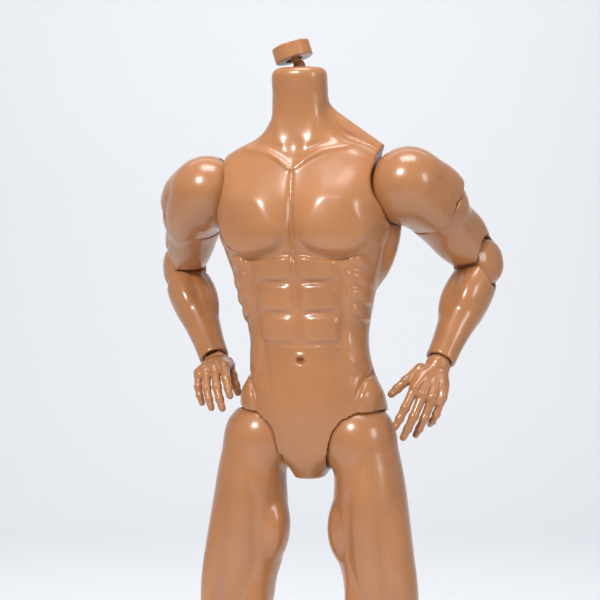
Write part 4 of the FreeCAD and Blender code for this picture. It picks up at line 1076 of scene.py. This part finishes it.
def build_shin(side, tag):
    shin = leg_axes(tag)[2]
    ankle = shin.to_local(joint_point("ankle_pitch_" + tag))
    down = shin.turn_local((0, 0, -1))
    field = Field((-14, -15, -74), (14, 17, 12), STEP)
    field.add(ringed(SHIN_RINGS, side), 0.0)
    # calf heads, shin bone edge and the outer muscle
    add_muscle(field, side, (-3.4, 6.6, -17.0), (5.2, 5.4, 15.0), 2.0, tip=-3)
    add_muscle(field, side, (3.6, 6.0, -15.0), (4.8, 5.2, 13.5), 2.0, tip=-3)
    add_muscle(field, side, (4.4, -3.2, -20.0), (4.4, 4.8, 18.0), 2.0)
    field.add(rod((side * -0.6, -7.4, -2.0), (side * -1.4, -4.4, -50.0), 1.5, 1.1), 2.2)
    field.add(rod((0, 6.4, -34.0), (0, 5.4, -62.0), 2.6, 1.9), 2.0)
    groove(field, side, [(0.2, -8, 0.3), (0.2, -20, 0.9), (0.2, -30, 0.2)], 0.8, 1.3, PLUS_Y)
    cut_for_barrel(field, (0, 0, 0), KNEE, 1.0)
    add_tongue(field, KNEE, 14.0)
    # ankle bones, and a fork round the ankle block
    field.add(ball(ankle + np.array([4.6, 0.4, 0]), 2.6), 1.2)
    field.add(ball(ankle + np.array([-4.6, 0.4, 0]), 2.6), 1.2)
    below = half_space(ankle, -down)
    hinge = shin.turn_local((1, 0, 0))
    ears = drum(ankle, hinge, 4.2, -9.0, 9.0)

    def gone(x, y, z):
        return np.maximum(below.distance(x, y, z), -ears.distance(x, y, z))

    field.cut(Shape(gone, *EVERYWHERE), 0.3)
    world_rows = shin.rows.T
    wide, deep = ANKLE_SLOT
    field.cut(brick((-wide, -deep, -9.0), (wide, deep, 3.05), world_rows, ankle), 0.2)
    field.cut(drum(ankle, hinge, deep, -wide, wide), 0.2)
    field.cut(drum(ankle, hinge, ANKLE_PIN, -20, 20), 0.0)
    place_shell("shin_shell_" + tag, field, shin, "shin_" + tag)


TOES = ((-4.6, -30.5, 2.5, 5.0), (-1.0, -31.4, 1.7, 4.0), (1.8, -30.4, 1.6, 3.8), (4.3, -28.6, 1.5, 3.4),
        (6.4, -26.2, 1.4, 3.0))


def build_foot(side, tag):
    """Bare foot; its own axes have the toes at -Y and the big toe on the inner side."""
    ankle = joint_point("ankle_pitch_" + tag)
    turn = math.radians(8.0 * side)
    ahead = np.array([math.sin(turn), -math.cos(turn), 0.0])
    axes = Axes((ankle[0], ankle[1], 0.0), (0, 0, 1), near_y=-ahead)
    field = Field((-13, -40, -2), (13, 16, 18), FINE)
    field.add(rod((0, 6.0, 5.2), (0, 1.0, 6.4), 5.0, 5.2), 0.0)
    field.add(rod((0, 2.0, 7.4), (side * -1.4, -16.0, 4.6), 4.4, 3.2), 3.0)
    field.add(rod((side * -2.4, -4.0, 5.4), (side * -4.0, -24.0, 3.0), 3.6, 2.9), 2.6)
    field.add(rod((side * 3.0, 0.0, 3.6), (side * 5.4, -21.0, 2.2), 3.2, 2.3), 2.4)
    field.add(rod((side * 0.4, -6.0, 4.6), (side * 1.0, -25.0, 2.6), 3.6, 2.6), 2.4)
    field.add(rod((0, 2.0, 9.0), (0, 1.0, 5.0), 4.6, 5.0), 2.0)
    for x, y, radius, length in TOES:
        start = np.array([side * x, y + length, radius + 0.6])
        end = np.array([side * x, y - 0.4, radius])
        field.add(rod(start, end, radius, radius * 0.95), 0.5)
        nail = end + np.array([0, -radius * 0.25, radius * 0.80])
        field.add(blob(nail, (radius * 0.6, radius * 0.6, 0.5)), 0.2)
    for first, second in zip(TOES[:-1], TOES[1:]):
        x = (first[0] + second[0]) / 2.0 * side
        field.score([(x, -21.0, 0.0), (x, -26.0, 1.0)], 0.5, 0.7, across=(0, 1), facing=(2, 1))
    field.cut(blob((side * -6.2, -8.0, -0.2), (3.2, 8.0, 2.0)), 1.2)
    field.keep(half_space((0, 0, 0.05), (0, 0, -1)), 0.5)
    middle = axes.to_local(ankle)
    hinge = axes.turn_local((1, 0, 0))
    field.cut(drum(middle, hinge, EAR_ROOM, -9.0, 9.0), 0.3)
    world_rows = axes.rows.T
    field.cut(brick((-9, -EAR_ROOM, 0), (9, EAR_ROOM, 9), world_rows, middle), 0.3)
    low = middle - np.array([0, 0, ANKLE_DROP])
    roll = axes.turn_local((0, 1, 0))
    wide, deep = BLOCK_ROOM
    field.cut(drum(low, roll, 3.05, -deep, deep), 0.1)
    field.cut(brick((-wide, -deep, -ANKLE_DROP), (wide, deep, 9.0), world_rows, middle), 0.2)
    field.cut(drum(low, roll, ANKLE_PIN, -6.3, 6.3), 0.0)
    place_shell("foot_shell_" + tag, field, axes, "foot_" + tag)


# ---------------------------------------------------------------- surroundings
CAMERA_AZIMUTH = 15.0
CAMERA_ELEVATION = -1.0
CAMERA_DISTANCE = 0.5
PICTURE_WIDTH = 0.1995       # what the camera takes in at the figure, in metres
CAMERA_HEIGHT = 0.198        # of the point looked at, in metres like all lengths from here on
SENSOR_WIDTH = 36.0


def build_stage():
    """Pale floor that curves up behind the figure."""
    low = Vector(CAD_BOX[0])
    front, depth, wide, tall, radius = -1.4, 1.2, 2.4, 2.2, 0.35
    steps = 12
    profile = [(front, low.z)]
    for i in range(steps + 1):
        turn = math.pi / 2.0 * i / steps
        profile.append((depth - radius + radius * math.sin(turn), low.z + radius - radius * math.cos(turn)))
    profile.append((depth, tall))
    points, faces = [], []
    for y, z in profile:
        points += [(-wide, y, z), (wide, y, z)]
    for i in range(len(profile) - 1):
        faces.append((2 * i, 2 * i + 1, 2 * i + 3, 2 * i + 2))
    mesh = bpy.data.meshes.new("sweep")
    mesh.from_pydata(points, [], faces)
    mesh.polygons.foreach_set("use_smooth", [True] * len(faces))
    sweep = bpy.data.objects.new("sweep", mesh)
    bpy.context.scene.collection.objects.link(sweep)
    sweep.rotation_euler[2] = math.radians(CAMERA_AZIMUTH)
    paper, tree, shader = new_material("pale_paper")
    fibre = add_node(tree, "TexNoise", {"Scale": 3.0}).outputs["Fac"]
    tones = add_ramp(tree, fibre, (0.78, 0.79, 0.82), (0.86, 0.87, 0.89))
    set_inputs(tree, shader, {"Base Color": tones, "Roughness": 0.9})
    sweep.data.materials.append(paper)


def lamp(name, place, target, size, energy, colour):
    data = bpy.data.lights.new(name, "AREA")
    data.shape = "RECTANGLE"
    data.size, data.size_y = size
    data.energy = energy
    data.color = colour
    light = bpy.data.objects.new(name, data)
    bpy.context.scene.collection.objects.link(light)
    light.location = place
    light.rotation_euler = (Vector(target) - Vector(place)).to_track_quat("-Z", "Y").to_euler()


def build_light_and_camera():
    turn = math.radians(CAMERA_AZIMUTH)
    tilt = math.radians(CAMERA_ELEVATION)
    right = Vector((math.cos(turn), math.sin(turn), 0.0))
    back = Vector((math.sin(turn) * math.cos(tilt), -math.cos(turn) * math.cos(tilt), math.sin(tilt)))
    body = Vector(BODY.origin / MM)
    target = body + Vector((0.0, 0.0, CAMERA_HEIGHT)) - right * 0.003
    data = bpy.data.cameras.new("camera")
    data.sensor_width = SENSOR_WIDTH
    data.lens = SENSOR_WIDTH * CAMERA_DISTANCE / PICTURE_WIDTH
    data.clip_start = 0.01
    camera = bpy.data.objects.new("camera", data)
    bpy.context.scene.collection.objects.link(camera)
    camera.location = target + back * CAMERA_DISTANCE
    camera.rotation_euler = (target - camera.location).to_track_quat("-Z", "Y").to_euler()
    bpy.context.scene.camera = camera

    front = Vector((math.sin(turn), -math.cos(turn), 0.0))
    chest = body + Vector((0.0, 0.0, 0.21))
    up = Vector((0.0, 0.0, 1.0))
    lamp("key", chest + front * 0.60 - right * 0.32 + up * 0.50, chest, (0.16, 0.16), 5.4, (1.0, 0.98, 0.94))
    lamp("fill", chest + front * 0.55 + right * 0.60 + up * 0.25, chest, (0.20, 0.30), 1.6, (0.96, 0.98, 1.0))
    lamp("top", chest + front * 0.15 + up * 0.85, chest, (0.45, 0.30), 4.6, (1.0, 1.0, 1.0))
    wall = chest - front * 1.2
    lamp("wall", chest - front * 0.45 + up * 0.75, wall, (1.0, 0.5), 3.2, (0.97, 0.98, 1.0))
    world = bpy.data.worlds.new("studio")
    world.use_nodes = True
    world.node_tree.nodes["Background"].inputs["Color"].default_value = (0.90, 0.92, 0.96, 1.0)
    world.node_tree.nodes["Background"].inputs["Strength"].default_value = 0.42
    bpy.context.scene.world = world
    bpy.context.scene.view_settings.view_transform = "Standard"


paint_cad_nodes()
build_torso()
build_connector()
for sign, name in SIDES:
    build_deltoid(sign, name)
    build_upper_arm(sign, name)
    build_link("elbow_knob_" + name, arm_axes(name)[1], ELBOW, "elbow_link_" + name)
    build_forearm(sign, name)
    build_hand(sign, name)
    build_thigh(sign, name)
    build_link("knee_barrel_" + name, leg_axes(name)[1], KNEE, "knee_link_" + name)
    build_shin(sign, name)
    build_foot(sign, name)
build_stage()
build_light_and_camera()
